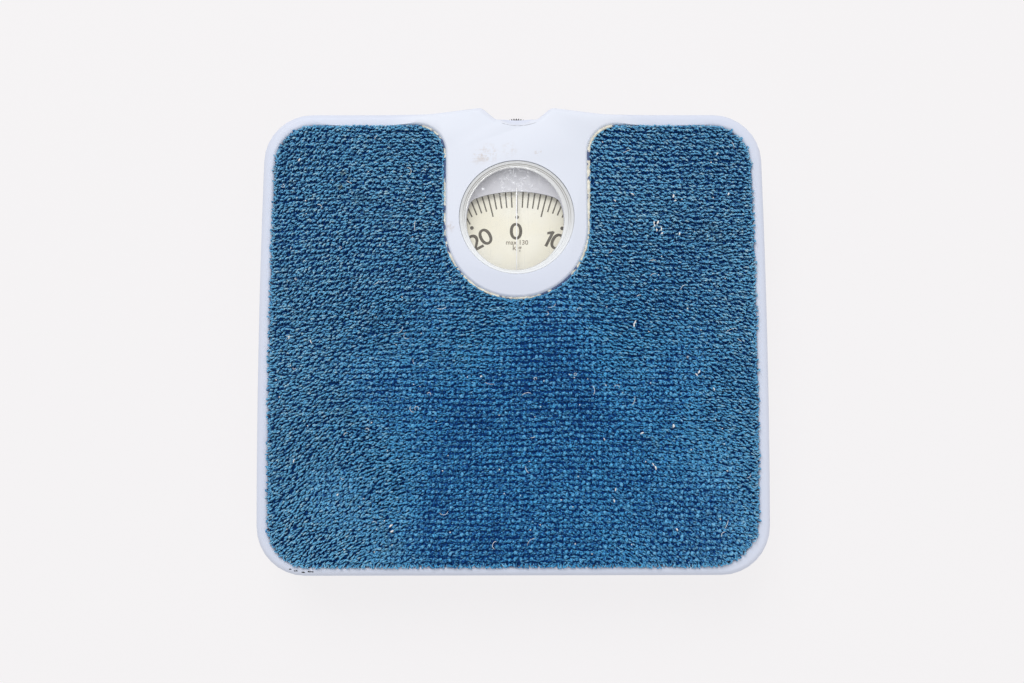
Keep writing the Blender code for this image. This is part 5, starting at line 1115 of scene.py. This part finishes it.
class SCALE_OT_mat(bpy.types.Operator):
    """Builds the mat's backing, its loops of yarn, the glue line and the lint"""

    bl_idname = "scale.build_mat"
    bl_label = "Mat"

    def execute(self, context):
        s = context.scene.scale_mat
        plan = Plan(context.scene.scale_cover)
        backing = self.backing(s, plan)
        yarn = yarn_finish("yarn", s)
        for seed, (label, low, high) in enumerate(PILE_STRIPS):
            name = "pile_" + label
            mesh = self.loops(name, s, plan, low, high, seed)
            riding(name, mesh, yarn, "platform", 180.0)
        self.glue(s, plan)
        self.lint(s, plan)
        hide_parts("mat")
        return {"FINISHED"}

    def backing(self, s, plan):
        """Backing cloth that fills the field, with a rounded upper edge."""
        corners = plan.field(6)
        high = plan.field_z + s.backing
        soft = 0.0008
        levels = [rounded_level(corners, s.gap, MAT_LOW.z)]
        for inwards, up in quarter(3):
            levels.append(rounded_level(corners, s.gap + soft * inwards, high - soft + soft * up))
        material = backing_finish("backing", s)
        return finished("mat_backing", loft(levels), material, "platform", 60.0)

    def glue(self, s, plan):
        """Uneven line of glue and jute where the mat meets the housing."""
        reach_x, front_y, spacing = 0.0555, plan.tongue_end - 0.002, 0.0007
        thick_x, thick_y, thick_reach = 0.0450, 0.095, 0.034
        turn = [
            (x, y) for x, y in rounded_outline(plan.field(10), 0.0001)
            if abs(x - AXIS_X) < reach_x and y > front_y
        ]
        path = []
        for (x0, y0), (x1, y1) in zip(turn, turn[1:]):
            count = max(int(math.hypot(x1 - x0, y1 - y0) / spacing), 1)
            path += [
                (x0 + (x1 - x0) * k / count, y0 + (y1 - y0) * k / count) for k in range(count)
            ]
        points = []
        radii = []
        for x, y in path:
            rough = drift(x, y, 700, 4.0)
            slow = drift(x, y, 120, 9.0)
            thick = max(1 - math.hypot(x - thick_x, y - thick_y) / thick_reach, 0.0)
            points.append(Vector((x, y, plan.field_z + 0.0035 + 0.0006 * slow + 0.0003 * rough)))
            radii.append(0.00066 + 0.00030 * rough + 0.00015 * slow + 0.0006 * thick)
        material = glue_finish("glue", s)
        return finished("mat_glue", tube(points, radii, 6), material, "platform", 180.0)

    def lint(self, s, plan):
        """White specks and short curled fibres caught in the pile."""
        rng = np.random.default_rng(29)
        top = plan.field_z + s.rise
        bm = bmesh.new()
        made = 0
        while made < LINT_COUNT:
            x = rng.uniform(-0.135, 0.135)
            y = rng.uniform(plan.field_front, plan.field_rear)
            if plan.inside_field(x, y) < 0.004:
                continue
            made += 1
            kind = "hair" if made % 3 == 0 else "flake" if made % 10 == 1 else "speck"
            self.fibre(bm, rng, x, y, top, kind)
        for x, y, count in TUFTS:
            for _ in range(count):
                beside = x + rng.normal(0, 0.0008)
                along = y + rng.normal(0, 0.0014)
                self.fibre(bm, rng, beside, along, top + 0.0002, "flake")
        material = lint_finish("lint", s.lint)
        return riding("mat_lint", mesh_of("mat_lint", bm), material, "platform", 180.0)

    def fibre(self, bm, rng, x, y, top, kind):
        """One hair, flake or speck of lint."""
        short, long, thin, thick, count = LINT_KINDS[kind]
        length = rng.uniform(short, long)
        radius = rng.uniform(thin, thick)
        heading = rng.uniform(0, math.tau) if kind != "flake" else rng.normal(1.5, 0.5)
        bend = rng.normal(0, 0.55) if kind == "hair" else rng.normal(0, 0.2)
        points = []
        radii = []
        here = Vector((x, y, top + 0.0001))
        for step in range(count):
            end = step in (0, count - 1)
            points.append(here.copy())
            points[-1].z += (-0.0006 if end else 0.0) + rng.normal(0, 0.00008)
            radii.append(radius * (0.6 if end else 1.0))
            here = here + Vector((math.cos(heading), math.sin(heading), 0.0)) * length / count
            heading += bend
        tube(points, radii, 4, bm)

    def template(self, s, length, arch, sway, yarn, stations, sides):
        """One strand of a loop: its verts, faces, UVs and how near the crown each vert is."""
        rise = (s.rise - yarn) * arch
        points = [
            Vector((length * along, sway * yarn * (1 - along * along), rise * up))
            for along, up, _ in stations
        ]
        bm = tube(points, [yarn * full for _, _, full in stations], sides)
        bm.verts.index_update()
        bmesh.ops.recalc_face_normals(bm, faces=bm.faces)
        verts = np.array([vert.co[:] for vert in bm.verts])
        quads, caps, strips = [], [], []
        for face in bm.faces:
            row = [vert.index for vert in face.verts]
            if len({index // sides for index in row}) == 1:
                caps.append(row)
                continue
            quads.append(row)
            around = [index % sides for index in row]
            wrap = 0 in around and sides - 1 in around
            strips.append([
                (index // sides, sides if wrap and side == 0 else side)
                for index, side in zip(row, around)
            ])
        bm.free()
        crown = np.clip(verts[:, 2] / s.rise, 0.0, 1.0) * arch
        return verts, quads, caps, np.array(strips, dtype=float), crown

    def places(self, *stretch):
        """Strands of one stretch: place, heading, lean, height, and whether it is a knob."""
        yield from self.rows(*stretch)
        yield from self.knobs(*stretch)
        yield from self.fringe(*stretch)

    def row_count(self, s, plan):
        """Rows of strands from the front of the field to its rear."""
        return int((plan.field_rear - plan.field_front) / s.row_pitch) + 2

    def rows(self, s, plan, rng, start, end):
        """Strands in rows, three rows to a row of loops, the third one low."""
        for row in range(self.row_count(s, plan)):
            base = plan.field_front - 0.0004 + row * s.row_pitch
            low = clamp((0.05 - base) / 0.14)
            along = -PILE_HALF + (row * 0.382) % 1.0 * s.loop_pitch
            while along < PILE_HALF:
                along += s.loop_pitch
                x = along + rng.normal(0, 0.00030)
                y = base + drift(x, base, 16, 3.0) * 0.0020 + rng.normal(0, 0.00012 + 0.00016 * low)
                if not start <= x < end or plan.inside_field(x, y) < PILE_MARGIN:
                    continue
                heading = min(max(-x / 0.10, -0.85), 1.0) * (0.30 + 0.22 * low) + 0.03
                heading += 0.40 * drift(x, y, 14, 7.0) + rng.normal(0, 0.24)
                lean = Vector((rng.normal(0.0, 0.09), rng.normal(-0.02, 0.09)))
                tall = ROW_HEIGHTS[row % 3] + 0.10 * drift(x, y, 26, 1.0)
                tall += 0.26 * low * (row % 3 == 2)
                tall = tall * (1.0 - 0.38 * self.worn(x, y)) + rng.normal(0, 0.04)
                yield x, y, heading, lean, tall, False

    def knobs(self, s, plan, rng, start, end):
        """Round knobs where the pile is trodden."""
        columns = int(PILE_HALF / s.knob_pitch) + 1
        for row in range(self.row_count(s, plan) // 3 + 1):
            base = plan.field_front + 0.0004 + 3 * row * s.row_pitch
            for column in range(-columns, columns + 1):
                x = column * s.knob_pitch
                y = base + drift(x, base, 16, 3.0) * 0.0020 + rng.normal(0, 0.00022)
                x += drift(x, base, 11, 5.0) * 0.0040 + rng.normal(0, 0.00024)
                if not start <= x < end or plan.inside_field(x, y) < PILE_MARGIN:
                    continue
                worn = self.worn(x, y)
                if worn < 0.02:
                    continue
                lean = Vector((rng.normal(0.0, 0.10), rng.normal(0.0, 0.10)))
                heading = rng.normal(0.95, 0.45)
                yield x, y, heading, lean, 0.74 + 0.22 * worn + rng.normal(0, 0.04), True

    def fringe(self, s, plan, rng, start, end):
        """Strands along the edge, leaning out over the rim."""
        outline = rounded_outline(plan.field(10), 0.0012)
        for (x0, y0), (x1, y1) in zip(outline, outline[1:] + outline[:1]):
            span = math.hypot(x1 - x0, y1 - y0)
            count = int(span / s.fringe_pitch)
            count += rng.random() < span / s.fringe_pitch - count
            out = Vector((y1 - y0, x0 - x1)) / span
            for step in range(count):
                part = (step + rng.random()) / count
                x = x0 + (x1 - x0) * part
                y = y0 + (y1 - y0) * part
                if not start <= x < end:
                    continue
                housing = abs(x - AXIS_X) < 0.054 and y > plan.tongue_end - EDGE_BAND
                rear = y > plan.field_rear - EDGE_BAND and not housing
                outward = rng.uniform(-0.02, 0.06) if housing else rng.uniform(-0.04, 0.16)
                if housing and x > AXIS_X and y > 0.070 and rng.random() < 0.6:
                    continue
                if not housing and rng.random() < 0.30:
                    outward = rng.uniform(0.22, 0.50)
                if rear:
                    outward = rng.uniform(0.10, 0.22)
                if y < plan.field_front + EDGE_BAND:
                    outward = rng.uniform(0.14, 0.42)
                heading = math.atan2(y1 - y0, x1 - x0)
                heading += rng.normal(0, 0.3) if rear or housing else rng.uniform(0.4, 2.7)
                yield x, y, heading, out * outward, rng.uniform(0.80, 0.97), False

    def worn(self, x, y):
        """How far the pile is trodden at a place, as in the lower middle."""
        middle_x, middle_y, half_x, half_y = TRODDEN
        reach = math.hypot((x - middle_x) / half_x, (y - middle_y) / half_y)
        return clamp((1.05 - (reach + 0.45 * drift(x, y, 24, 9.0))) / 0.45)

    def loops(self, name, s, plan, low, high, seed):
        """Strands of one stretch of the mat, each turned and leant a little its own way."""
        rng = np.random.default_rng(11 + seed)
        strands, knobs = (
            [
                self.template(s, s.reach * length, arch, sway, yarn, stations, sides)
                for length, arch, sway in forms
            ]
            for forms, yarn, stations, sides in (
                (STRAND_FORMS, s.yarn, STRAND, 4), (KNOB_FORMS, s.knob, KNOB, 6),
            )
        )
        verts, quads, caps, strips, crowns, tones = [], [], [], [], [], []
        count = 0
        for x, y, heading, lean, tall, knob in self.places(s, plan, rng, low, high):
            kinds = knobs if knob else strands
            points, faces, ends, uvs, crown = kinds[rng.integers(len(kinds))]
            wide = 1.0 + rng.normal(0, 0.10)
            cos, sin = math.cos(heading), math.sin(heading)
            up = points[:, 2] * tall
            moved = np.empty_like(points)
            moved[:, 0] = x + points[:, 0] * cos - points[:, 1] * sin * wide + lean.x * up
            moved[:, 1] = y + points[:, 0] * sin + points[:, 1] * cos * wide + lean.y * up
            moved[:, 2] = plan.field_z + up
            verts.append(moved)
            quads += [[index + count for index in face] for face in faces]
            caps += [[index + count for index in face] for face in ends]
            strips.append(uvs + rng.integers(50))
            crowns.append(crown * tall * (0.44 if knob else 1.0))
            tones.append(np.full(len(points), rng.random()))
            count += len(points)
        mesh = bpy.data.meshes.new(name)
        mesh.from_pydata(np.concatenate(verts).tolist(), [], quads + caps)
        layer = mesh.uv_layers.new(name="strand")
        flat = np.concatenate([strip.reshape(-1) for strip in strips])
        flat = np.concatenate([flat, np.zeros(2 * len(layer.data) - len(flat))])
        layer.data.foreach_set("uv", flat.astype(np.float32))
        for label, values in (("crown", crowns), ("tone", tones)):
            kept = mesh.attributes.new(label, "FLOAT", "POINT")
            kept.data.foreach_set("value", np.concatenate(values).astype(np.float32))
        return mesh


class SCALE_OT_window(bpy.types.Operator):
    """Builds the clear window, the grey mask and the hairline"""

    bl_idname = "scale.build_window"
    bl_label = "Window"

    def execute(self, context):
        s = context.scene.scale_dial
        self.lens(s)
        self.mask(s)
        self.hairline(s)
        return {"FINISHED"}

    def lens(self, s):
        """Domed window with its stepped rim, held under the cover by a flange."""
        dome, wall, swell, sheet, gap = 0.0284, 0.0015, 0.0004, 0.0011, 0.0003
        top = COVER_HIGH.z
        crown = LENS_HIGH.z - top - swell
        under = top - sheet - gap

        def cap(radius, drop):
            """Points of the dome's outer or inner face, from the middle outwards."""
            return [
                (radius * k / 16, top + swell - drop + crown * (1 - (k / 16) ** 2))
                for k in range(17)
            ]

        # The dome, the steps of its rim outwards, the flange under the cover, and the inner face
        profile = [
            *cap(dome, 0.0), (dome + 0.0002, top + 0.0002), (dome + 0.0003, top), (0.0293, top),
            (0.0294, top - 0.0002), (0.0301, top - 0.0002), (0.0303, top - 0.0004),
            (0.0312, top - 0.0004), (0.0314, top - 0.0006), (0.0314, under),
            (0.0329, under), (0.0329, LENS_LOW.z), (0.0302, LENS_LOW.z), (0.0275, top - sheet),
            *reversed(cap(dome - wall, wall)),
        ]
        bm = turned(profile, LENS_STEPS, (AXIS_X, LENS_Y))
        material = clear_finish("clear_window", s)
        piece = finished("window_lens", bm, material, "platform", 20.0)
        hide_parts("lens")

    def hairline(self, s):
        """White line over the dial, broader where it leaves the mask."""
        low = POINTER_LOW
        high = POINTER_HIGH
        neck = high.y - 0.0150
        outline = [(AXIS_X + across, y) for across, y in (
            (-0.00022, low.y), (0.00022, low.y), (0.00026, neck - 0.004), (0.00040, neck),
            (0.00036, high.y), (-0.00036, high.y), (-0.00040, neck), (-0.00026, neck - 0.004),
        )]
        bm = loft([level_at(outline, low.z), level_at(outline, high.z)])
        level_edges = [
            edge for edge in bm.edges
            if edge.is_convex and abs(edge.verts[0].co.z - edge.verts[1].co.z) < TINY
        ]
        bmesh.ops.bevel(
            bm, geom=level_edges, offset=0.00008, segments=2, profile=0.5, affect="EDGES",
            material=-1,
        )
        material = moulded_finish("hairline", s.line, 0.35)
        piece = finished("window_hairline", bm, material, "platform")
        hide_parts("pointer_line")

    def mask(self, s):
        """Grey well with a stepped rim and the arched opening."""
        well, collar, flange, sheet, soft = 0.0322, 0.0332, 0.0356, 0.0010, 0.0006
        top = MASK_HIGH.z
        shelf = top - 0.0012 - 0.0003
        floor = MASK_LOW.z
        profile = [
            (0.0, floor), (well + sheet, floor), (well + sheet, shelf - sheet),
            (collar + sheet, shelf - sheet), (collar + sheet, top - sheet),
            (flange, top - sheet), (flange, top), (collar, top),
            (collar, shelf), (well, shelf), (well, floor + sheet + soft),
            (well - soft, floor + sheet), (0.0, floor + sheet),
        ]
        bm = turned(profile, LENS_STEPS, (AXIS_X, LENS_Y))
        tool = loft([level_at(self.opening(), floor + side * 0.003) for side in (-1, 1)])
        material = mask_finish("mask_paint", s.mask)
        piece = finished("window_mask", carved(bm, tool), material, "platform", 25.0)
        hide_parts("dial_mask")

    def opening(self):
        """Outline that is bounded by an arch about the dial's axis and by an ellipse below."""
        arch_radius, soft, steps = 0.068, 0.0026, 160
        offset = LENS_Y - DIAL_Y
        outline = []
        for step in range(steps):
            angle = math.tau * step / steps
            across, up = math.sin(angle), math.cos(angle)
            arch = math.sqrt(arch_radius ** 2 - (offset * across) ** 2) - offset * up
            a = (across / OPEN_WIDE) ** 2 + (up / OPEN_TALL) ** 2
            b = across * OPEN_X / OPEN_WIDE ** 2 + up * OPEN_Y / OPEN_TALL ** 2
            c = (OPEN_X / OPEN_WIDE) ** 2 + (OPEN_Y / OPEN_TALL) ** 2 - 1.0
            ellipse = (b + math.sqrt(b * b - a * c)) / a
            overlap = max(soft - abs(arch - ellipse), 0.0)
            reach = min(arch, ellipse) - overlap ** 2 / (4 * soft)
            outline.append((AXIS_X + reach * across, LENS_Y + reach * up))
        return outline


class SCALE_OT_dial(bpy.types.Operator):
    """Prints the dial: ticks, dots, numerals and the small words"""

    bl_idname = "scale.build_dial"
    bl_label = "Dial"

    def execute(self, context):
        s = context.scene.scale_dial
        redress(card_finish("dial_card", s.card), "dial_disc")
        ink = ink_finish("dial_ink", s.ink)
        self.ticks(s, ink)
        for kilo in range(0, s.capacity, 10):
            self.numeral(kilo, s, ink)
        small = ink_finish("dial_small_ink", s.small_ink)
        for name, text, height, radius in (
            ("word_max", "max 130", 0.0026, 0.0398), ("word_kg", "k g", 0.0031, 0.0368),
        ):
            bm = bmesh.new()
            self.printed(bm, text, height, s)
            self.put(bm, radius, 0, s, small, name)
        return {"FINISHED"}

    def turn_to(self, kilo, s):
        """Turn about the dial's axis to a number of kilograms."""
        return Matrix.Rotation(s.zero_turn - math.tau * kilo / s.capacity, 4, "Z")

    def ticks(self, s, ink):
        """A tick at each kilogram and a dot at each ten."""
        bm = bmesh.new()
        for kilo in range(s.capacity):
            ten = kilo % 10 == 0
            length = s.tick_long if ten else s.tick_middle if kilo % 5 == 0 else s.tick_short
            made = bmesh.ops.create_cube(bm, size=1.0)["verts"]
            bmesh.ops.scale(bm, vec=(s.tick_width, length, s.print_height), verts=made)
            bmesh.ops.translate(bm, vec=(0.0, s.tick_outer - length / 2, 0.0), verts=made)
            bmesh.ops.transform(bm, matrix=self.turn_to(kilo, s), verts=made)
            if ten:
                dot = bmesh.ops.create_cone(
                    bm, cap_ends=True, segments=20, radius1=s.dot, radius2=s.dot,
                    depth=s.print_height,
                )["verts"]
                bmesh.ops.translate(bm, vec=(0.0, s.dot_radius, 0.0), verts=dot)
                bmesh.ops.transform(bm, matrix=self.turn_to(kilo, s), verts=dot)
        centre = (AXIS_X, DIAL_Y, DISC_HIGH.z + s.print_height / 2)
        bmesh.ops.translate(bm, vec=centre, verts=bm.verts)
        finished("dial_ticks", bm, ink, "dial", 30.0)

    def numeral(self, kilo, s, ink):
        """Number of kilograms, its figures set side by side."""
        text = str(kilo)
        widths = [s.numeral * (0.35 if figure == "1" else 0.70) for figure in text]
        here = -sum(widths) / 2
        bm = bmesh.new()
        for figure, width in zip(text, widths):
            if figure == "1":
                made = self.figure_one(bm, s)
            else:
                made = self.printed(bm, figure, s.numeral, s)
                bmesh.ops.scale(bm, vec=(1.16, 1.0, 1.0), verts=made)
            bmesh.ops.translate(bm, vec=(here + width / 2, 0.0, 0.0), verts=made)
            here += width
        self.put(bm, s.numeral_radius, kilo - 0.25, s, ink, f"numeral_{kilo:03d}")

    def figure_one(self, bm, s):
        """Bold figure one with its flag."""
        outline = [(x * s.numeral, y * s.numeral) for x, y in FIGURE_ONE]
        half = s.print_height / 2
        return self.added(bm, mesh_of("figure", loft([level_at(outline, z) for z in (-half, half)])))

    def printed(self, bm, text, height, s):
        """Flat printed text with its middle at the origin; returns its verts."""
        capital_share, boldness = 0.72, 0.012
        curve = bpy.data.curves.new("print", "FONT")
        curve.body = text
        curve.align_x = "CENTER"
        curve.align_y = "CENTER"
        curve.size = height / capital_share
        curve.extrude = s.print_height / 2
        curve.offset = height * boldness
        curve.resolution_u = 6
        words = linked("print", curve)
        bpy.context.view_layer.update()
        evaluated = words.evaluated_get(bpy.context.evaluated_depsgraph_get())
        mesh = bpy.data.meshes.new_from_object(evaluated)
        bpy.data.objects.remove(words, do_unlink=True)
        bpy.data.curves.remove(curve)
        return self.added(bm, mesh)

    def added(self, bm, mesh):
        """Moves a mesh into a bmesh and returns the verts that it brought."""
        before = len(bm.verts)
        bm.from_mesh(mesh)
        bpy.data.meshes.remove(mesh)
        bm.verts.ensure_lookup_table()
        return bm.verts[before:]

    def put(self, bm, radius, kilo, s, ink, name):
        """Prints what is in a bmesh on the dial at a number of kilograms."""
        bmesh.ops.remove_doubles(bm, verts=bm.verts, dist=TINY)
        place = Matrix.Translation((AXIS_X, DIAL_Y, DISC_HIGH.z + s.print_height / 2))
        matrix = place @ self.turn_to(kilo, s) @ Matrix.Translation((0.0, radius, 0.0))
        bmesh.ops.transform(bm, matrix=matrix, verts=bm.verts)
        finished(name, bm, ink, "dial", 30.0)


class SCALE_OT_wheel(bpy.types.Operator):
    """Builds the knurled zero wheel"""

    bl_idname = "scale.build_wheel"
    bl_label = "Zero wheel"

    def execute(self, context):
        s = context.scene.scale_metal
        low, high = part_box("zero_wheel")
        centre = middle(low, high)
        radius = (high.x - low.x) / 2
        bevel, deep, over, bore_radius = 0.0004, 0.001, 0.002, 0.0025
        body = loft([
            self.teeth(s, centre, radius - inset, height) for inset, height in (
                (bevel, low.z), (0.0, low.z + bevel), (0.0, high.z - bevel), (bevel, high.z),
            )
        ])
        dish = turned(
            [(0.0062, high.z - deep), (radius - 0.003, high.z - deep),
             (radius - 0.0024, high.z + deep), (0.0056, high.z + deep)],
            64, centre,
        )
        bore = turned(
            [(0.0, low.z - over), (bore_radius, low.z - over),
             (bore_radius, high.z + over), (0.0, high.z + over)],
            40, centre,
        )
        material = moulded_finish("wheel_plastic", s.plastic, 0.38)
        shape = carved(body, dish, bore)
        piece = finished("wheel_knurled", shape, material, "zero_wheel")
        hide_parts("zero_wheel")
        return {"FINISHED"}

    def teeth(self, s, centre, radius, height):
        """Loop of knurls, four points to a tooth: its place in the pitch and its depth."""
        level = []
        for tooth in range(s.teeth):
            for part, depth in ((0.10, 1.0), (0.40, 0.0), (0.70, 0.0), (1.0, 1.0)):
                angle = math.tau * (tooth + part) / s.teeth
                reach = radius - s.tooth_depth * depth
                across, up = reach * math.cos(angle), reach * math.sin(angle)
                level.append(Vector((centre[0] + across, centre[1] + up, height)))
        return level


class SCALE_OT_metalwork(bpy.types.Operator):
    """Finishes the lever work, rivets, bearings and feet, and winds the two working springs"""

    bl_idname = "scale.finish_metalwork"
    bl_label = "Metalwork"

    def execute(self, context):
        s = context.scene.scale_metal
        wire = wire_finish("spring_wire", s.wire)
        rivets = plated_finish("rivet_plate", shade(s.zinc, 0.9), 0.30, (300, 300, 300))
        finishes = {
            "zinc": plated_finish("zinc_plate", s.zinc, 0.34),
            "brass": plated_finish("turned_brass", s.brass, 0.30, (200.0, 200.0, 900.0)),
            "spring_steel": wire,
            "rubber": moulded_finish("foot_rubber", s.rubber, 0.72),
        }
        for row in frame["record"]["subparts"]:
            name, slot = row["node"], row["material_slot"]
            if slot in finishes:
                redress(rivets if name.startswith("rivet") else finishes[slot], name)
        self.main_spring(s, wire)
        self.rack_spring(s, wire)
        return {"FINISHED"}

    def spring(self, name, node, points, wire, material, moving, start, end):
        """Length of wire between the base and a moving body, built where it stands; it follows
        neither.
        """
        bm = tube(points, [wire] * len(points), 10)
        bmesh.ops.recalc_face_normals(bm, faces=bm.faces)
        obj = dressed(name, mesh_of(name, bm), material, 40.0)
        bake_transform(obj)
        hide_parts(node)

    def main_spring(self, s, material):
        """Main spring in two lengths, the upper turns and the others; neither length follows a body.
        """
        low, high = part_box("main_spring")
        wire = s.main_wire
        lower_share = 0.64
        x, y = middle(low, high)
        coil = (high.x - low.x) / 2 - wire
        rise = (high.z - low.z - 2 * wire) / s.main_turns
        points = [
            Vector((x + across, y + along, low.z + wire + up))
            for across, along, up in winding(s.main_turns, SPRING_STEPS, coil, rise)
        ]
        split = int(lower_share * len(points))
        joint = points[split].z
        self.spring(
            "main_spring_lower", "main_spring", points[:split + 1], wire, material,
            "spring_hanger", (x, y, joint - wire), (x, y, low.z + 2 * wire),
        )
        self.spring(
            "main_spring_upper", "main_spring", points[split:], wire, material,
            "adjuster", (x, y, joint + wire), (x, y, high.z - 2 * wire),
        )

    def rack_spring(self, s, material):
        """Thin spring from the bridge's tab to the rack's horn, hooked at both ends."""
        low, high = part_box("rack_spring")
        wire = s.rack_wire
        x = middle(low, high)[0]
        z = low.z + s.rack_coil + wire
        front = low.y + wire
        rear = high.y - wire
        length = s.rack_pitch * s.rack_turns
        begin = (front + rear - length) / 2
        hook = high.z - z
        bend = 0.2 * hook
        path = [
            (x, front, z + hook), (x, front, z + bend), (x, front + bend, z),
            (x, begin - s.rack_pitch, z),
            *[
                (x + across, begin + along, z + up)
                for across, up, along in winding(
                    s.rack_turns, THIN_SPRING_STEPS, s.rack_coil, s.rack_pitch
                )
            ],
            (x, begin + length + s.rack_pitch, z), (x, rear - bend, z),
            (x, rear, z + bend), (x, rear, z + hook),
        ]
        self.spring(
            "rack_spring_wire", "rack_spring", [Vector(point) for point in path], wire, material,
            "rack", (x, rear - s.rack_coil, z), (x, front + s.rack_coil, z),
        )


class SCALE_OT_stage(bpy.types.Operator):
    """Sets the floor, the soft lights and the camera"""

    bl_idname = "scale.build_stage"
    bl_label = "Stage"

    def execute(self, context):
        s = context.scene.scale_stage
        bm = bmesh.new()
        bmesh.ops.create_grid(bm, x_segments=1, y_segments=1, size=6.0)
        bmesh.ops.translate(bm, vec=(0.0, 0.0, -0.0002), verts=bm.verts)
        floor = linked("floor", mesh_of("floor", bm))
        floor.data.materials.append(self.backdrop(s))
        context.scene.world = self.studio(s)
        self.lamp("key", (-0.5, 1.5, 2.1), 1.8, s.lamp)
        self.lamp("fill", (0.9, -0.9, 1.6), 1.4, s.fill)
        self.camera(context, s)
        context.scene.view_settings.view_transform = "Standard"
        return {"FINISHED"}

    def studio(self, s):
        """Even white light, which the camera itself sees in the floor's colour."""
        world = bpy.data.worlds.new("studio")
        world.use_nodes = True
        tree = world.node_tree
        light = tree.nodes["Background"]
        plug(tree, light.inputs["Color"], (1.0, 1.0, 1.0))
        plug(tree, light.inputs["Strength"], s.sky)
        wall = tree.nodes.new("ShaderNodeBackground")
        plug(tree, wall.inputs["Color"], s.floor)
        seen = Value(tree, tree.nodes.new("ShaderNodeLightPath").outputs["Is Camera Ray"])
        mix_shaders(tree, seen, light, wall, tree.nodes["World Output"])
        return world

    def backdrop(self, s):
        """Pale floor: its own even colour for the camera, softly shadowed."""
        finish = Finish("floor_paint", Roughness=0.9, Specular_IOR_Level=0.0, Base_Color=s.floor)
        tree = finish.tree
        path = tree.nodes.new("ShaderNodeLightPath")
        camera, glossy, through = (
            Value(tree, path.outputs[ray])
            for ray in ("Is Camera Ray", "Is Glossy Ray", "Is Transmission Ray")
        )
        plain = tree.nodes.new("ShaderNodeEmission")
        plug(tree, plain.inputs["Color"], s.floor)
        seen = camera.larger(glossy).larger(through) * 0.88
        mix_shaders(tree, seen, finish.shader, plain, tree.nodes["Material Output"])
        return finish.material

    def lamp(self, name, place, width, power):
        """Round soft lamp that faces the scale; its power is in tens of watts."""
        data = bpy.data.lights.new(name, "AREA")
        data.shape = "DISK"
        data.size = width
        data.energy = power * 10
        obj = linked(name, data)
        obj.location = place
        obj.rotation_euler = (-Vector(place)).to_track_quat("-Z", "Y").to_euler()

    def camera(self, context, s):
        """Camera of the view from above, its middle a few pixels off the picture's."""
        shift_across, shift_up, picture_width = -0.76, 2.77, 1024.0
        data = bpy.data.cameras.new("photo_view")
        data.sensor_width = 36.0
        data.lens = s.lens
        data.shift_x = shift_across / picture_width
        data.shift_y = shift_up / picture_width
        data.clip_start = 0.01
        obj = linked("photo_view", data)
        obj.location = s.place
        obj.rotation_euler = s.turn
        context.scene.camera = obj


class SCALE_PT_panel(bpy.types.Panel):
    """Lists the steps that dress the scale"""

    bl_idname = "SCALE_PT_panel"
    bl_label = "Bathroom scale"
    bl_space_type = "VIEW_3D"
    bl_region_type = "UI"
    bl_category = "Scale"

    def draw(self, context):
        for operator in STEPS:
            self.layout.operator(operator.bl_idname)


GROUPS = (
    ("scale_cover", ScaleCoverSizes), ("scale_mat", ScaleMatSizes), ("scale_dial", ScaleDialSizes),
    ("scale_metal", ScaleMetalSizes), ("scale_stage", ScaleStageSettings),
)
STEPS = (
    SCALE_OT_stage, SCALE_OT_cover, SCALE_OT_mat, SCALE_OT_window, SCALE_OT_dial,
    SCALE_OT_wheel, SCALE_OT_metalwork,
)


def register():
    for name, group in GROUPS:
        bpy.utils.register_class(group)
        setattr(bpy.types.Scene, name, PointerProperty(type=group))
    for operator in STEPS:
        bpy.utils.register_class(operator)
    bpy.utils.register_class(SCALE_PT_panel)


def unregister():
    bpy.utils.unregister_class(SCALE_PT_panel)
    for operator in reversed(STEPS):
        bpy.utils.unregister_class(operator)
    for name, group in reversed(GROUPS):
        delattr(bpy.types.Scene, name)
        bpy.utils.unregister_class(group)


def main():
    register()
    bpy.ops.scale.build_stage()
    bpy.ops.scale.build_cover()
    bpy.ops.scale.build_mat()
    bpy.ops.scale.build_window()
    bpy.ops.scale.build_dial()
    bpy.ops.scale.build_wheel()
    bpy.ops.scale.finish_metalwork()


if __name__ == "__main__":
    main()
